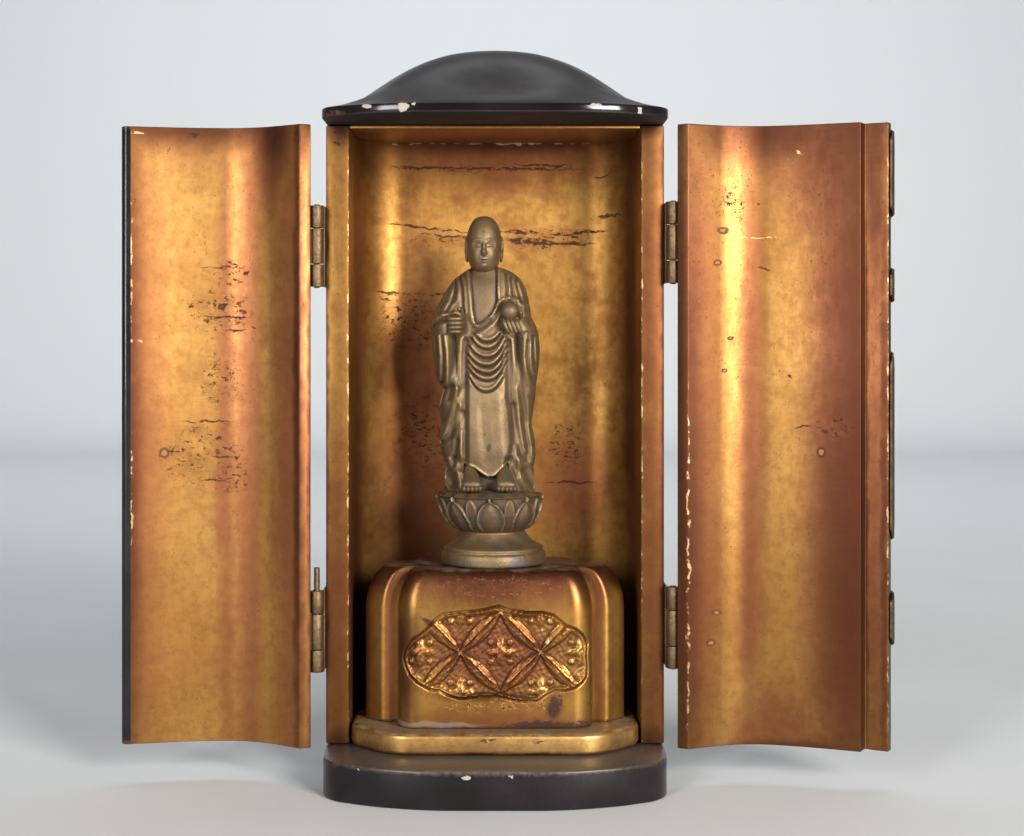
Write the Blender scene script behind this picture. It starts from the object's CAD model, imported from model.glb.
import math

import bmesh
import bpy
import numpy as np
from mathutils import Matrix, Vector


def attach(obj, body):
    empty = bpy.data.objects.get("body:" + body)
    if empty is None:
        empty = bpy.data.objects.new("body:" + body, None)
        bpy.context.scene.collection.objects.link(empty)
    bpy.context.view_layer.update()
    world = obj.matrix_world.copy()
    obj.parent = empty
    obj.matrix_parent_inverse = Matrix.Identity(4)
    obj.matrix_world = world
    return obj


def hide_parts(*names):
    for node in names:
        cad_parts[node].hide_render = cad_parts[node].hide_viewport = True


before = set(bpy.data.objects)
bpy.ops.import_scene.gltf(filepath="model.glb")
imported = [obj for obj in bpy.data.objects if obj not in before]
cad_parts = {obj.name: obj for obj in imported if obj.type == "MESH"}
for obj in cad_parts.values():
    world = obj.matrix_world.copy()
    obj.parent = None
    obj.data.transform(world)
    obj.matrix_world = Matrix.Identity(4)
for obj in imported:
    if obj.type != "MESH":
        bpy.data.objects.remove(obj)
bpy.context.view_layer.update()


# The base. A thick board of joined wood under black lacquer, flat in front with canted corners and
# round at the back. It is the ledge that the doors close over, so its front arris is rubbed and chipped.

MM = 0.001


def face_out():
    """Turns every face of the piece in hand outwards."""
    bpy.ops.object.mode_set(mode="EDIT")
    bpy.ops.mesh.select_all(action="SELECT")
    bpy.ops.mesh.normals_make_consistent(inside=False)
    bpy.ops.object.mode_set(mode="OBJECT")


def take(made):
    """Takes one piece in hand, and lets go of all the others."""
    bpy.ops.object.select_all(action="DESELECT")
    made.select_set(True)
    bpy.context.view_layer.objects.active = made


def board(name, corners, foot, top):
    """A board of the given outline, in millimetres, drawn up from its foot to its top."""
    bpy.ops.object.select_all(action="DESELECT")
    bpy.ops.mesh.primitive_circle_add(vertices=len(corners), radius=1, fill_type="NGON")
    made = bpy.context.object
    made.name = made.data.name = name
    for vertex, (x, y) in zip(made.data.vertices, corners):
        vertex.co = Vector((x, y, foot)) * MM
    bpy.ops.object.location_clear()
    bpy.ops.object.mode_set(mode="EDIT")
    bpy.ops.mesh.select_all(action="SELECT")
    rise = (0, 0, (top - foot) * MM)
    bpy.ops.mesh.extrude_region_move(TRANSFORM_OT_translate={"value": rise})
    bpy.ops.object.mode_set(mode="OBJECT")
    face_out()
    return made


def round_upright(made, radius, segments, *places):
    """Rounds the upright edges that stand at these places, in millimetres."""
    take(made)
    for place in places:
        bpy.ops.object.mode_set(mode="EDIT")
        bpy.ops.mesh.select_mode(type="EDGE")
        bpy.ops.mesh.select_all(action="DESELECT")
        held = bmesh.from_edit_mesh(made.data)
        spot = Vector(place) * MM
        turn = 0
        for edge in held.edges:
            if all((vertex.co.xy - spot).length < 1e-6 for vertex in edge.verts):
                edge.select_set(True)
                turn = edge.calc_face_angle()
        bmesh.update_edit_mesh(made.data)
        reach = radius * MM * math.tan(turn / 2)
        bpy.ops.mesh.bevel(offset=reach, offset_type="OFFSET", segments=segments, affect="EDGES")
        bpy.ops.object.mode_set(mode="OBJECT")


def ease_edges(made, width, segments=3, sharper_than=30):
    """Eases every sharp edge, and shades what is round as round."""
    take(made)
    bevel = made.modifiers.new("eased edges", "BEVEL")
    bevel.width = width * MM
    bevel.segments = segments
    bevel.limit_method = "ANGLE"
    bevel.angle_limit = math.radians(sharper_than)
    bevel.harden_normals = False
    bpy.ops.object.modifier_apply(modifier=bevel.name)
    bpy.ops.object.shade_smooth_by_angle(angle=math.radians(28))


def grow(tree, kind, inputs=(), **settings):
    """Adds a node, sets its options, and fills its inputs with values or with other nodes' outputs."""
    made = tree.nodes.new("ShaderNode" + kind)
    for setting, value in settings.items():
        setattr(made, setting, value)
    for key, value in dict(inputs).items():
        if isinstance(value, bpy.types.NodeSocket):
            tree.links.new(value, made.inputs[key])
        else:
            made.inputs[key].default_value = value
    return made


def level(tree, value, low, high):
    """Draws a value out from 0 to 1 between two levels, softly."""
    levels = {"Value": value, "From Min": low, "From Max": high}
    return grow(tree, "MapRange", levels, interpolation_type="SMOOTHSTEP").outputs[0]


def spread(tree, value, low, high):
    """Takes a value from 0 to 1 to one between two ends, evenly."""
    return grow(tree, "MapRange", {"Value": value, "To Min": low, "To Max": high}).outputs[0]


def clouds(tree, where, scale, low, high, detail=4.0, rough=0.55, stretch=None):
    """Noise of so many patches a metre, drawn out from 0 to 1 between two of its levels."""
    if stretch:
        where = grow(tree, "Mapping", {"Vector": where, "Scale": stretch}).outputs[0]
    inputs = {"Vector": where, "Scale": scale, "Detail": detail, "Roughness": rough}
    return level(tree, grow(tree, "TexNoise", inputs).outputs[0], low, high)


def combine(tree, operation, one, other):
    """Works out one number from two, and keeps it between 0 and 1."""
    return grow(tree, "Math", {0: one, 1: other}, operation=operation, use_clamp=True).outputs[0]


def tint(tree, share, under, over):
    """Lays one colour over another by the given share."""
    return grow(tree, "Mix", {0: share, 6: under, 7: over}, data_type="RGBA").outputs[2]


def lay(tree, share, most, under, over):
    """Lays one colour over another by a share of at most so much."""
    return tint(tree, combine(tree, "MULTIPLY", share, most), under, over)


def waver(tree, where, scale, reach):
    """The same place, moved about a little, so that what is drawn there has ragged edges."""
    cloud = grow(tree, "TexNoise", {"Vector": where, "Scale": scale, "Detail": 4.0})
    shift = grow(tree, "VectorMath", {0: cloud.outputs[1], 1: (0.5, 0.5, 0.5)}, operation="SUBTRACT")
    inputs = {0: shift.outputs[0], 1: (reach,) * 3, 2: where}
    return grow(tree, "VectorMath", inputs, operation="MULTIPLY_ADD").outputs[0]


def marks(tree, where, places):
    """Soft oval marks, each a middle, half sizes and a tilt about Y: 1 in the middle, 0 at the rim."""
    found = None
    for middle, half, tilt in places:
        inputs = {
            "Vector": where,
            "Location": tuple(part * MM for part in middle),
            "Rotation": (0, math.radians(tilt), 0),
            "Scale": tuple(part * MM for part in half),
        }
        seen = grow(tree, "Mapping", inputs, vector_type="TEXTURE").outputs[0]
        one = grow(tree, "TexGradient", {"Vector": seen}, gradient_type="SPHERICAL").outputs[1]
        found = one if found is None else combine(tree, "MAXIMUM", found, one)
    return found


def new_finish(name, hung=False):
    """An empty finish, and the places that its patterns go by: on a hung piece, those of the shut door."""
    finish = bpy.data.materials.new(name)
    finish.use_nodes = True
    tree = finish.node_tree
    if hung:
        where = grow(tree, "Attribute", attribute_name="shut").outputs["Vector"]
    else:
        where = grow(tree, "TexCoord").outputs["Object"]
    return finish, tree, tree.nodes["Principled BSDF"], where


def set_height(tree, shader, height, distance):
    """Raises and sinks the surface by so many metres."""
    bump = grow(tree, "Bump", {"Height": height, "Distance": distance})
    tree.links.new(bump.outputs[0], shader.inputs["Normal"])


def black_lacquer(name, chips=(), rubs=(), gloss=(0.2, 0.3), film=0.07, dust=(), hung=False):
    """Black lacquer: satin gloss, a cloudy film, fine dust, pale chips and brown rubbed places."""
    black, brown_black = (0.0045, 0.0035, 0.004, 1), (0.010, 0.008, 0.0095, 1)
    film_grey = (0.045, 0.037, 0.038, 1)
    fine_dust, settled_dust = (0.16, 0.145, 0.14, 1), (0.13, 0.10, 0.075, 1)
    under_coat, pale_ground = (0.10, 0.038, 0.02, 1), (0.33, 0.29, 0.25, 1)
    finish, tree, shader, where = new_finish(name, hung)
    colour = tint(tree, clouds(tree, where, 60, 0.35, 0.7), black, brown_black)
    haze = clouds(tree, where, 45, 0.35, 0.75, 5)
    colour = tint(tree, spread(tree, haze, film * 0.6, film), colour, film_grey)
    colour = lay(tree, clouds(tree, where, 1100, 0.64, 0.76, 6), film * 1.5, colour, fine_dust)
    rough = spread(tree, haze, *gloss)
    ragged = waver(tree, where, 700, 0.0022)
    if rubs:
        worn = combine(tree, "MULTIPLY", level(tree, marks(tree, ragged, rubs), 0.05, 0.5), 0.8)
        worn = combine(tree, "MULTIPLY", worn, clouds(tree, where, 380, 0.36, 0.62, 6, 0.65))
        colour = tint(tree, worn, colour, under_coat)
        rough = combine(tree, "ADD", rough, combine(tree, "MULTIPLY", worn, 0.3))
    if dust:
        dusty = combine(tree, "MULTIPLY", level(tree, marks(tree, ragged, dust), 0, 0.5), 0.5)
        colour = tint(tree, dusty, colour, settled_dust)
        rough = combine(tree, "ADD", rough, combine(tree, "MULTIPLY", dusty, 0.4))
    if chips:
        chip = level(tree, marks(tree, ragged, chips), 0.14, 0.3)
        colour = lay(tree, chip, 0.8, colour, pale_ground)
        rough = combine(tree, "ADD", rough, combine(tree, "MULTIPLY", chip, 0.4))
    tree.links.new(colour, shader.inputs["Base Color"])
    tree.links.new(rough, shader.inputs["Roughness"])
    shader.inputs["Specular IOR Level"].default_value = 0.3
    set_height(tree, shader, clouds(tree, where, 90, 0.2, 0.8, 2), 0.0001)
    return finish


HALF_WIDTH, WALL_FRONT, BACK = 53.25, -4.85, 38.65
BACK_BEND = 19.3
BASE_PLAN = (
    (-27.5, -38.65), (27.5, -38.65), (52.4, -26.35), (HALF_WIDTH, WALL_FRONT),
    (HALF_WIDTH, BACK), (-HALF_WIDTH, BACK), (-HALF_WIDTH, WALL_FRONT), (-52.4, -26.35),
)
base = board("base_board", BASE_PLAN, 0, 11.8)
round_upright(base, 62, 14, (-27.5, -38.65), (27.5, -38.65))
round_upright(base, 12, 10, (52.4, -26.35), (-52.4, -26.35))
round_upright(base, BACK_BEND, 16, (HALF_WIDTH, BACK), (-HALF_WIDTH, BACK))
ease_edges(base, 0.8)
base.data.materials.append(
    black_lacquer(
        "base lacquer",
        chips=(
            ((-8.6, -38.65, 9.9), (1.9, 1.4, 0.7), 0),
            ((-41.2, -33.0, 10.6), (0.8, 2, 0.5), 0),
            ((4.6, -38.65, 10.2), (0.9, 1, 0.4), 0),
            ((29.5, -38.0, 10.8), (0.9, 1.4, 0.5), 0),
        ),
        rubs=(((0, -38.4, 11.9), (62, 3.4, 0.55), 0),),
        dust=(((0, -20, 12.8), (80, 40, 3.2), 0),),
        gloss=(0.14, 0.22),
        film=0.04,
    )
)
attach(base, "case")
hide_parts("base_slab")


# The case. One thin wall goes round from front edge to front edge, bent at the back corners, gilt
# inside and on its front edges and black outside. It is glued to the base and the roof.


def gilding(name, cracks=(), stains=(), pits=(), bright=(), dim=(), burnt=(), dust=(), deep=0.3,
            shade=1.0, green=1.0, blue=1.0, sheen=(0.38, 0.45), hung=False):
    """Gold leaf on lacquer: brown where it has thinned, with worn cracks, stains and pits."""
    brown, scorched = (0.15, 0.05, 0.02, 1), (0.05, 0.015, 0.009, 1)
    black_loss, crack_black = (0.022, 0.009, 0.007, 1), (0.026, 0.011, 0.010, 1)
    speck_brown, pit_brown = (0.06, 0.022, 0.012, 1), (0.05, 0.02, 0.012, 1)
    pin_head, bare_ground, dust_grey = (0.4, 0.2, 0.08, 1), (0.62, 0.39, 0.2, 1), (0.12, 0.097, 0.08, 1)

    def toned(red_part, green_part, blue_part):
        """A tone of the leaf, by this piece's own shade, green and blue."""
        return (red_part * shade, green_part * shade * green, blue_part * shade * blue, 1)

    finish, tree, shader, where = new_finish(name, hung)
    patches = clouds(tree, where, 26, 0.7, 0.3, 3)
    gold = tint(tree, patches, toned(0.47, 0.21, 0.052), toned(0.38, 0.148, 0.034))
    fine = clouds(tree, where, 500, 0.3, 0.72, 5, 0.62, (1, 1, 0.35))
    gold = lay(tree, fine, 0.36, gold, toned(0.27, 0.092, 0.021))
    cross = clouds(tree, where, 700, 0.35, 0.75, 4, 0.6, (0.3, 0.3, 1.2))
    gold = lay(tree, cross, 0.26, gold, toned(0.29, 0.106, 0.028))
    gold = lay(tree, clouds(tree, where, 330, 0.42, 0.66, 6, 0.66), 0.46, gold, toned(0.23, 0.08, 0.02))
    gold = lay(tree, clouds(tree, where, 100, 0.46, 0.7, 7, 0.62), deep, gold, toned(0.22, 0.068, 0.02))
    if dim:
        dull = level(tree, marks(tree, waver(tree, where, 55, 0.005), dim), 0, 0.75)
        gold = lay(tree, dull, 0.7, gold, toned(0.2, 0.046, 0.022))
    if burnt:
        scorch = level(tree, marks(tree, waver(tree, where, 130, 0.0024), burnt), 0, 0.8)
        gold = lay(tree, scorch, 0.82, gold, scorched)
    specks = clouds(tree, where, 1500, 0.635, 0.69, 3)
    specks = combine(tree, "MULTIPLY", specks, clouds(tree, where, 120, 0.36, 0.6, 3))
    gold = lay(tree, specks, 0.75, gold, speck_brown)
    lost = combine(tree, "MULTIPLY", specks, 0.7)
    ragged = waver(tree, where, 300, 0.0026)
    if stains:
        stain = level(tree, marks(tree, waver(tree, where, 160, 0.006), stains), 0.02, 0.6)
        mottle = combine(tree, "MULTIPLY", stain, clouds(tree, where, 240, 0.36, 0.66, 6, 0.7))
        gold = lay(tree, mottle, 0.4, gold, brown)
        flecks = clouds(tree, where, 760, 0.545, 0.585, 7, 0.78, (0.6, 1, 1.1))
        crackle = combine(tree, "MULTIPLY", stain, flecks)
        gold = lay(tree, crackle, 0.9, gold, black_loss)
        lost = combine(tree, "MAXIMUM", lost, crackle)
    if cracks:
        crack = level(tree, marks(tree, ragged, cracks), 0.02, 0.4)
        crack = combine(tree, "MULTIPLY", crack, clouds(tree, where, 1000, 0.38, 0.5, 6, 0.7, (0.5, 1, 1)))
        gold = lay(tree, crack, 0.88, gold, crack_black)
        lost = combine(tree, "MAXIMUM", lost, crack)
    if pits:
        near_pit = marks(tree, waver(tree, where, 900, 0.0009), pits)
        ring = level(tree, near_pit, 0.06, 0.4)
        gold = lay(tree, ring, 0.75, gold, pit_brown)
        gold = lay(tree, level(tree, near_pit, 0.5, 0.7), 0.5, gold, pin_head)
        lost = combine(tree, "MAXIMUM", lost, combine(tree, "MULTIPLY", ring, 0.6))
    if bright:
        bare = level(tree, marks(tree, ragged, bright), 0.1, 0.35)
        bare = combine(tree, "MULTIPLY", bare, clouds(tree, where, 350, 0.47, 0.58))
        gold = lay(tree, bare, 0.7, gold, bare_ground)
    if dust:
        dusty = level(tree, marks(tree, waver(tree, where, 200, 0.003), dust), 0.05, 0.5)
        thick = spread(tree, clouds(tree, where, 300, 0.3, 0.7, 6), 0.45, 0.95)
        dusty = combine(tree, "MULTIPLY", dusty, thick)
        gold = tint(tree, dusty, gold, dust_grey)
        lost = combine(tree, "MAXIMUM", lost, dusty)
    shader.inputs["Specular IOR Level"].default_value = 0.12
    tree.links.new(gold, shader.inputs["Base Color"])
    tree.links.new(spread(tree, lost, 0.86, 0.1), shader.inputs["Metallic"])
    rough = spread(tree, clouds(tree, where, 45, 0.3, 0.7, 4), *sheen)
    rough = combine(tree, "ADD", rough, combine(tree, "MULTIPLY", fine, 0.05))
    rough = combine(tree, "ADD", rough, combine(tree, "MULTIPLY", lost, 0.3))
    tree.links.new(rough, shader.inputs["Roughness"])
    even = combine(tree, "ADD", combine(tree, "MULTIPLY", cross, 0.35), 0.6)
    relief = combine(tree, "SUBTRACT", even, combine(tree, "MULTIPLY", lost, 0.6))
    set_height(tree, shader, relief, 0.00003)
    return finish


def clad(made, finish, wanted):
    """Gives a finish to the faces whose middle and direction pass the test."""
    made.data.materials.append(finish)
    slot = len(made.data.materials) - 1
    for face in made.data.polygons:
        if wanted(face.center / MM, face.normal):
            face.material_index = slot


INNER_HALF, INNER_BACK, INNER_BEND = 46, 35.35, 16
CASE_PLAN = (
    (INNER_HALF, WALL_FRONT), (HALF_WIDTH, WALL_FRONT), (HALF_WIDTH, BACK),
    (-HALF_WIDTH, BACK), (-HALF_WIDTH, WALL_FRONT), (-INNER_HALF, WALL_FRONT),
    (-INNER_HALF, INNER_BACK), (INNER_HALF, INNER_BACK),
)
case = board("case_wall", CASE_PLAN, 12.1, 206.8)
round_upright(case, BACK_BEND, 18, (HALF_WIDTH, BACK), (-HALF_WIDTH, BACK))
round_upright(case, INNER_BEND, 18, (INNER_HALF, INNER_BACK), (-INNER_HALF, INNER_BACK))
ease_edges(case, 0.45)
case_gold = gilding(
    "case gilding",
    cracks=(
        ((-6, 35.35, 197.2), (44, 3, 0.5), 0.4),
        ((-22, 35.35, 197.6), (12, 3, 0.5), 1),
        ((16, 35.35, 198.4), (12, 3, 0.45), -1),
        ((12, 35.35, 172.6), (10, 3, 1.4), 3),
        ((22, 35.35, 171.8), (14, 3, 0.7), 0),
        ((30, 35.35, 175.6), (15, 3, 0.6), -4),
        ((-22, 35.35, 177.0), (19, 3, 0.45), 7),
        ((-16, 35.35, 174.4), (12, 3, 0.4), 5),
        ((8, 35.35, 175.9), (9, 3, 0.8), 3),
        ((38, 31, 181), (6, 6, 0.7), -4),
        ((35, 31, 194.2), (6, 5, 0.45), -12),
        ((26, 35.35, 91.0), (11, 3, 0.4), 0),
        ((-13, 35.35, 91.4), (7, 3, 0.4), 2),
        ((-34, 32, 155), (9, 5, 0.6), 4),
        ((-18, 35.35, 154.6), (5, 3, 0.5), 0),
    ),
    stains=(
        ((24, 35.35, 174.4), (26, 3, 4), 2),
        ((0, 35.35, 172.5), (44, 3, 3), 1),
        ((0, 35.35, 197.4), (44, 3, 2), 0),
        ((-28, 34, 146), (15, 4, 14), 0),
        ((-24, 34, 108), (15, 4, 20), 0),
        ((24, 35.35, 104), (10, 3, 12), 0),
        ((-32, 33, 154), (12, 6, 2.5), 0),
    ),
    pits=(((27.5, 35.35, 101), (0.9, 2, 0.8), 0), ((20.5, 35.35, 110), (0.8, 2, 0.9), 0)),
    bright=(((0, 35.35, 205.8), (60, 3, 0.5), 0),),
    dim=(
        ((-47, 6, 110), (6, 60, 190), 0),
        ((-24, 36, 112), (26, 12, 84), 0),
        ((0, 35.35, 208), (70, 60, 26), 0),
        ((26, 36, 90), (22, 10, 26), 0),
        ((-8, 35, 22), (60, 60, 40), 0),
        ((46, 14, 110), (3.5, 30, 190), 0),
    ),
    burnt=(
        ((-48, 20, 60), (5, 26, 120), 0),
        ((-28, 36, 50), (30, 12, 76), 0),
        ((0, 36, 207), (60, 12, 7), 0),
        ((46.5, 30, 150), (6, 12, 120), 0),
        ((-25, 38, 128), (15, 5, 66), 0),
    ),
    deep=0.8,
    shade=0.76,
    green=1.26,
    blue=1.3,
    sheen=(0.42, 0.52),
)
case_black = black_lacquer(
    "case lacquer",
    chips=(
        ((-53.3, 21, 13.4), (1.4, 2.6, 1.2), 0), ((-53.3, 6, 204.6), (1.2, 1.6, 1.8), 0),
        ((53.3, 28, 13.2), (1.4, 2.2, 1.0), 0), ((53.3, 9, 122), (1, 0.9, 1.6), 0),
        ((31, 38.7, 204.8), (3, 1.4, 1.2), 0), ((-18, 38.7, 13.4), (2.6, 1.4, 1.0), 0),
        ((-24, 38.7, 71), (0.9, 1, 1.5), 0), ((11, 38.7, 150), (1.1, 1, 0.8), 0),
    ),
    rubs=(
        ((0, 38.7, 12.6), (66, 3, 1.8), 0), ((-53.3, 17, 12.6), (3, 30, 1.8), 0),
        ((53.3, 17, 12.6), (3, 30, 1.8), 0), ((-53.3, -4.8, 90), (1.0, 1.0, 90), 0),
        ((53.3, -4.8, 120), (1.0, 1.0, 90), 0),
    ),
)


def in_case(at, face):
    """True for the upright faces on the inner side of the wall."""
    aside = max(abs(at.x) - (INNER_HALF - INNER_BEND) - 2, 0)
    behind = max(at.y - (INNER_BACK - INNER_BEND), 0)
    return abs(face.z) < 0.5 and math.hypot(aside, behind) < INNER_BEND + 1.65


clad(case, case_black, lambda at, face: True)
clad(case, case_gold, in_case)
front_gold = gilding(
    "front edge gilding",
    cracks=(((-49, -4.8, 204.6), (2.2, 2, 0.9), 0), ((-50, -4.8, 201.4), (1.4, 2, 0.6), 0)),
    bright=(((-46, -4.6, 110), (0.42, 1.3, 130), 0), ((46, -4.6, 110), (0.42, 1.3, 130), 0)),
    dim=(((-50, -4.85, 60), (7, 1.6, 80), 0), ((50, -4.85, 110), (8, 1.8, 190), 0)),
    burnt=(
        ((-53.2, -4.8, 110), (1.3, 1, 190), 0), ((53.2, -4.8, 110), (1.3, 1, 190), 0),
        ((-50, -4.8, 206), (7, 2, 8), 0), ((50, -4.8, 206), (7, 2, 5), 0),
        ((-50, -4.8, 12), (7, 2, 8), 0), ((50, -4.8, 12), (7, 2, 8), 0),
    ),
    shade=0.46,
    green=1.2,
    blue=1.3,
)
clad(case, front_gold, lambda at, face: abs(face.z) < 0.5 and at.y < -4.5)
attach(case, "case")
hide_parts("case_shell")

CEILING_PLAN = ((45.8, -4.4), (45.8, 35.2), (-45.8, 35.2), (-45.8, -4.4))
ceiling = board("case_ceiling", CEILING_PLAN, 205.9, 206.9)
round_upright(ceiling, 15.8, 12, (45.8, 35.2), (-45.8, 35.2))
ease_edges(ceiling, 0.25, 2)
ceiling.data.materials.append(
    gilding("ceiling gilding", dim=(((0, 12, 206), (90, 60, 30), 0),), shade=1.1, green=1.4, blue=1.5)
)
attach(ceiling, "case")


# The roof. A board with a thin brow that overhangs the shut doors, carved up into a low dome, all of it
# black lacquer outside. Its brow is chipped through to the ground in front.

BROW_FRONT, ROOF_FOOT, ROOF_TOP = -33.35, 207.1, 210.1
ROOF_PLAN = [(-32, BROW_FRONT)] + [(x, BROW_FRONT) for x in range(-16, 17, 4)] + [(32, BROW_FRONT)]
ROOF_PLAN += [(HALF_WIDTH, -23.35), (HALF_WIDTH, WALL_FRONT), (HALF_WIDTH, BACK)]
ROOF_PLAN += [(HALF_WIDTH * (1 - 2 * step / 27), BACK) for step in range(6, 22)]
ROOF_PLAN += [(-HALF_WIDTH, BACK), (-HALF_WIDTH, WALL_FRONT), (-HALF_WIDTH, -23.35)]
roof = board("roof_dome", ROOF_PLAN, ROOF_FOOT, ROOF_TOP)
round_upright(roof, 46, 14, (-32, BROW_FRONT), (32, BROW_FRONT))
round_upright(roof, 9, 8, (HALF_WIDTH, -23.35), (-HALF_WIDTH, -23.35))
round_upright(roof, BACK_BEND, 14, (HALF_WIDTH, BACK), (-HALF_WIDTH, BACK))
ROOF_MIDDLE = Vector((0, 2.65)) * MM
DOME_RISE, DOME_DEPTH, RINGS = 20.8, 36, 26
bpy.ops.object.mode_set(mode="EDIT")
bpy.ops.mesh.select_mode(type="FACE")
bpy.ops.mesh.select_all(action="DESELECT")
held = bmesh.from_edit_mesh(roof.data)
top_face = max(held.faces, key=lambda face: face.calc_center_median().z)
top_face.select_set(True)
rim = [vertex.co.xy.copy() for vertex in top_face.verts]
for ring in range(RINGS):
    share = (1 - ring / RINGS) ** 1.15 * 0.985
    loose = min(1, (1 - share) / 0.3)
    loose = loose * loose * (3 - 2 * loose)
    height = (ROOF_TOP + DOME_RISE * (1 - share**2.65) ** 1.7) * MM
    bpy.ops.mesh.extrude_region_move(TRANSFORM_OT_translate={"value": (0, 0, 0)})
    held = bmesh.from_edit_mesh(roof.data)
    drawn = [face for face in held.faces if face.select][0]
    for vertex in drawn.verts:
        ray = vertex.co.xy - ROOF_MIDDLE
        spoke = min((place - ROOF_MIDDLE for place in rim), key=lambda line: abs(line.angle_signed(ray, 0)))
        along = math.atan2(spoke.y / DOME_DEPTH, spoke.x / HALF_WIDTH)
        oval = Vector((HALF_WIDTH * math.cos(along), DOME_DEPTH * math.sin(along))) * MM
        spot = ROOF_MIDDLE + spoke.lerp(oval, loose) * share
        vertex.co = (spot.x, spot.y, height)
    bmesh.update_edit_mesh(roof.data)
bpy.ops.object.mode_set(mode="OBJECT")
ease_edges(roof, 0.5, 2, 40)
BROW_CHIPS = (
    ((-38.8, -30.6, 209.4), (2.4, 2.2, 0.8), 0),
    ((-27.5, -33.4, 208.9), (2.1, 2, 2.2), 0),
    ((-24.3, -33.4, 209.8), (1.1, 1.4, 0.6), 0),
    ((31, -33.2, 209.4), (3.2, 1.8, 0.6), 0),
    ((43.6, -28, 208.4), (0.8, 1.6, 1.4), 0),
)
BROW_RUBS = (((-50, -24, 207.6), (8, 5, 2), 0),)
brow_black = black_lacquer("brow lacquer", chips=BROW_CHIPS, rubs=BROW_RUBS, gloss=(0.1, 0.16), film=0.01)
dull_black = black_lacquer("dull underside", gloss=(0.62, 0.7), film=0.05)
roof.data.materials.append(black_lacquer("roof lacquer", chips=BROW_CHIPS, gloss=(0.34, 0.46), film=0.06))
clad(roof, brow_black, lambda at, face: abs(face.z) < 0.5 and at.z < 210)
clad(roof, dull_black, lambda at, face: face.z < -0.5)
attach(roof, "case")
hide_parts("roof")


# The doors. Thin boards bent to a bow, each hung at the case's front edge on its own hinges, gilt
# inside and black outside. The right one carries the moulded strip that shuts over the left one's edge.

LEFT_PIN = Vector((-55.8, -7.75)) * MM
RIGHT_PIN = Vector((55.8, -7.75)) * MM
LEFT_OPEN, RIGHT_OPEN = -160.5, 150
DOOR_FOOT, DOOR_TOP = 12.2, 206.4


def hang(made, pin, opened):
    """Notes where each point is while the door is shut, then swings the piece about the pin."""
    shut = made.data.attributes.new("shut", "FLOAT_VECTOR", "POINT")
    for vertex, kept in zip(made.data.vertices, shut.data):
        kept.vector = vertex.co
    about = Matrix.Translation((pin.x, pin.y, 0))
    made.data.transform(about @ Matrix.Rotation(math.radians(opened), 4, "Z") @ about.inverted())


HINGE_SIDE = ((49.65, -5.15), (53.25, -5.15), (53.25, -6.18))
OUTER_BENDS = ((40.02, -23.822, 29.5, 22), (22.272, -29.383, 103.5, 12))
INNER_BENDS = ((21.517, -25.952, 100, 12), (37.897, -20.82, 26, 22))


def bent_board(name, side, meeting_edge):
    """A door's board, from its hinge side round its two bends to its meeting edge and back."""
    corners = list(HINGE_SIDE) + [bend[:2] for bend in OUTER_BENDS]
    corners = [(side * x, y) for x, y in corners] + list(meeting_edge)
    corners += [(side * x, y) for x, y, radius, segments in INNER_BENDS]
    made = board(name, corners, DOOR_FOOT, DOOR_TOP)
    for x, y, radius, segments in OUTER_BENDS + INNER_BENDS[::-1]:
        round_upright(made, radius, segments, (side * x, y))
    return made


left_door = bent_board("left_door_board", -1, ((1.5, -32.47), (1.5, -28.94), (-1, -28.6155)))
round_upright(left_door, 1.6, 5, (1.5, -32.47), (1.5, -28.94))
ease_edges(left_door, 0.35, 3, 40)


BEND_PLACE = Vector((-35.4, -24.15))
FRONT_INWARD, SIDE_INWARD = Vector((0.1289, 0.9917)), Vector((0.8, 0.6))


def in_door(at, face):
    """True for the faces of a shut left-hand door that look into the case, and for its hinge edge."""
    if abs(face.z) > 0.5:
        return False
    from_bend = at.xy - BEND_PLACE
    inward = max(from_bend.dot(FRONT_INWARD), from_bend.dot(SIDE_INWARD))
    return (inward > -2.2 and face.y > 0.05 and at.x < -0.6) or at.y > -5.6


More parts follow.
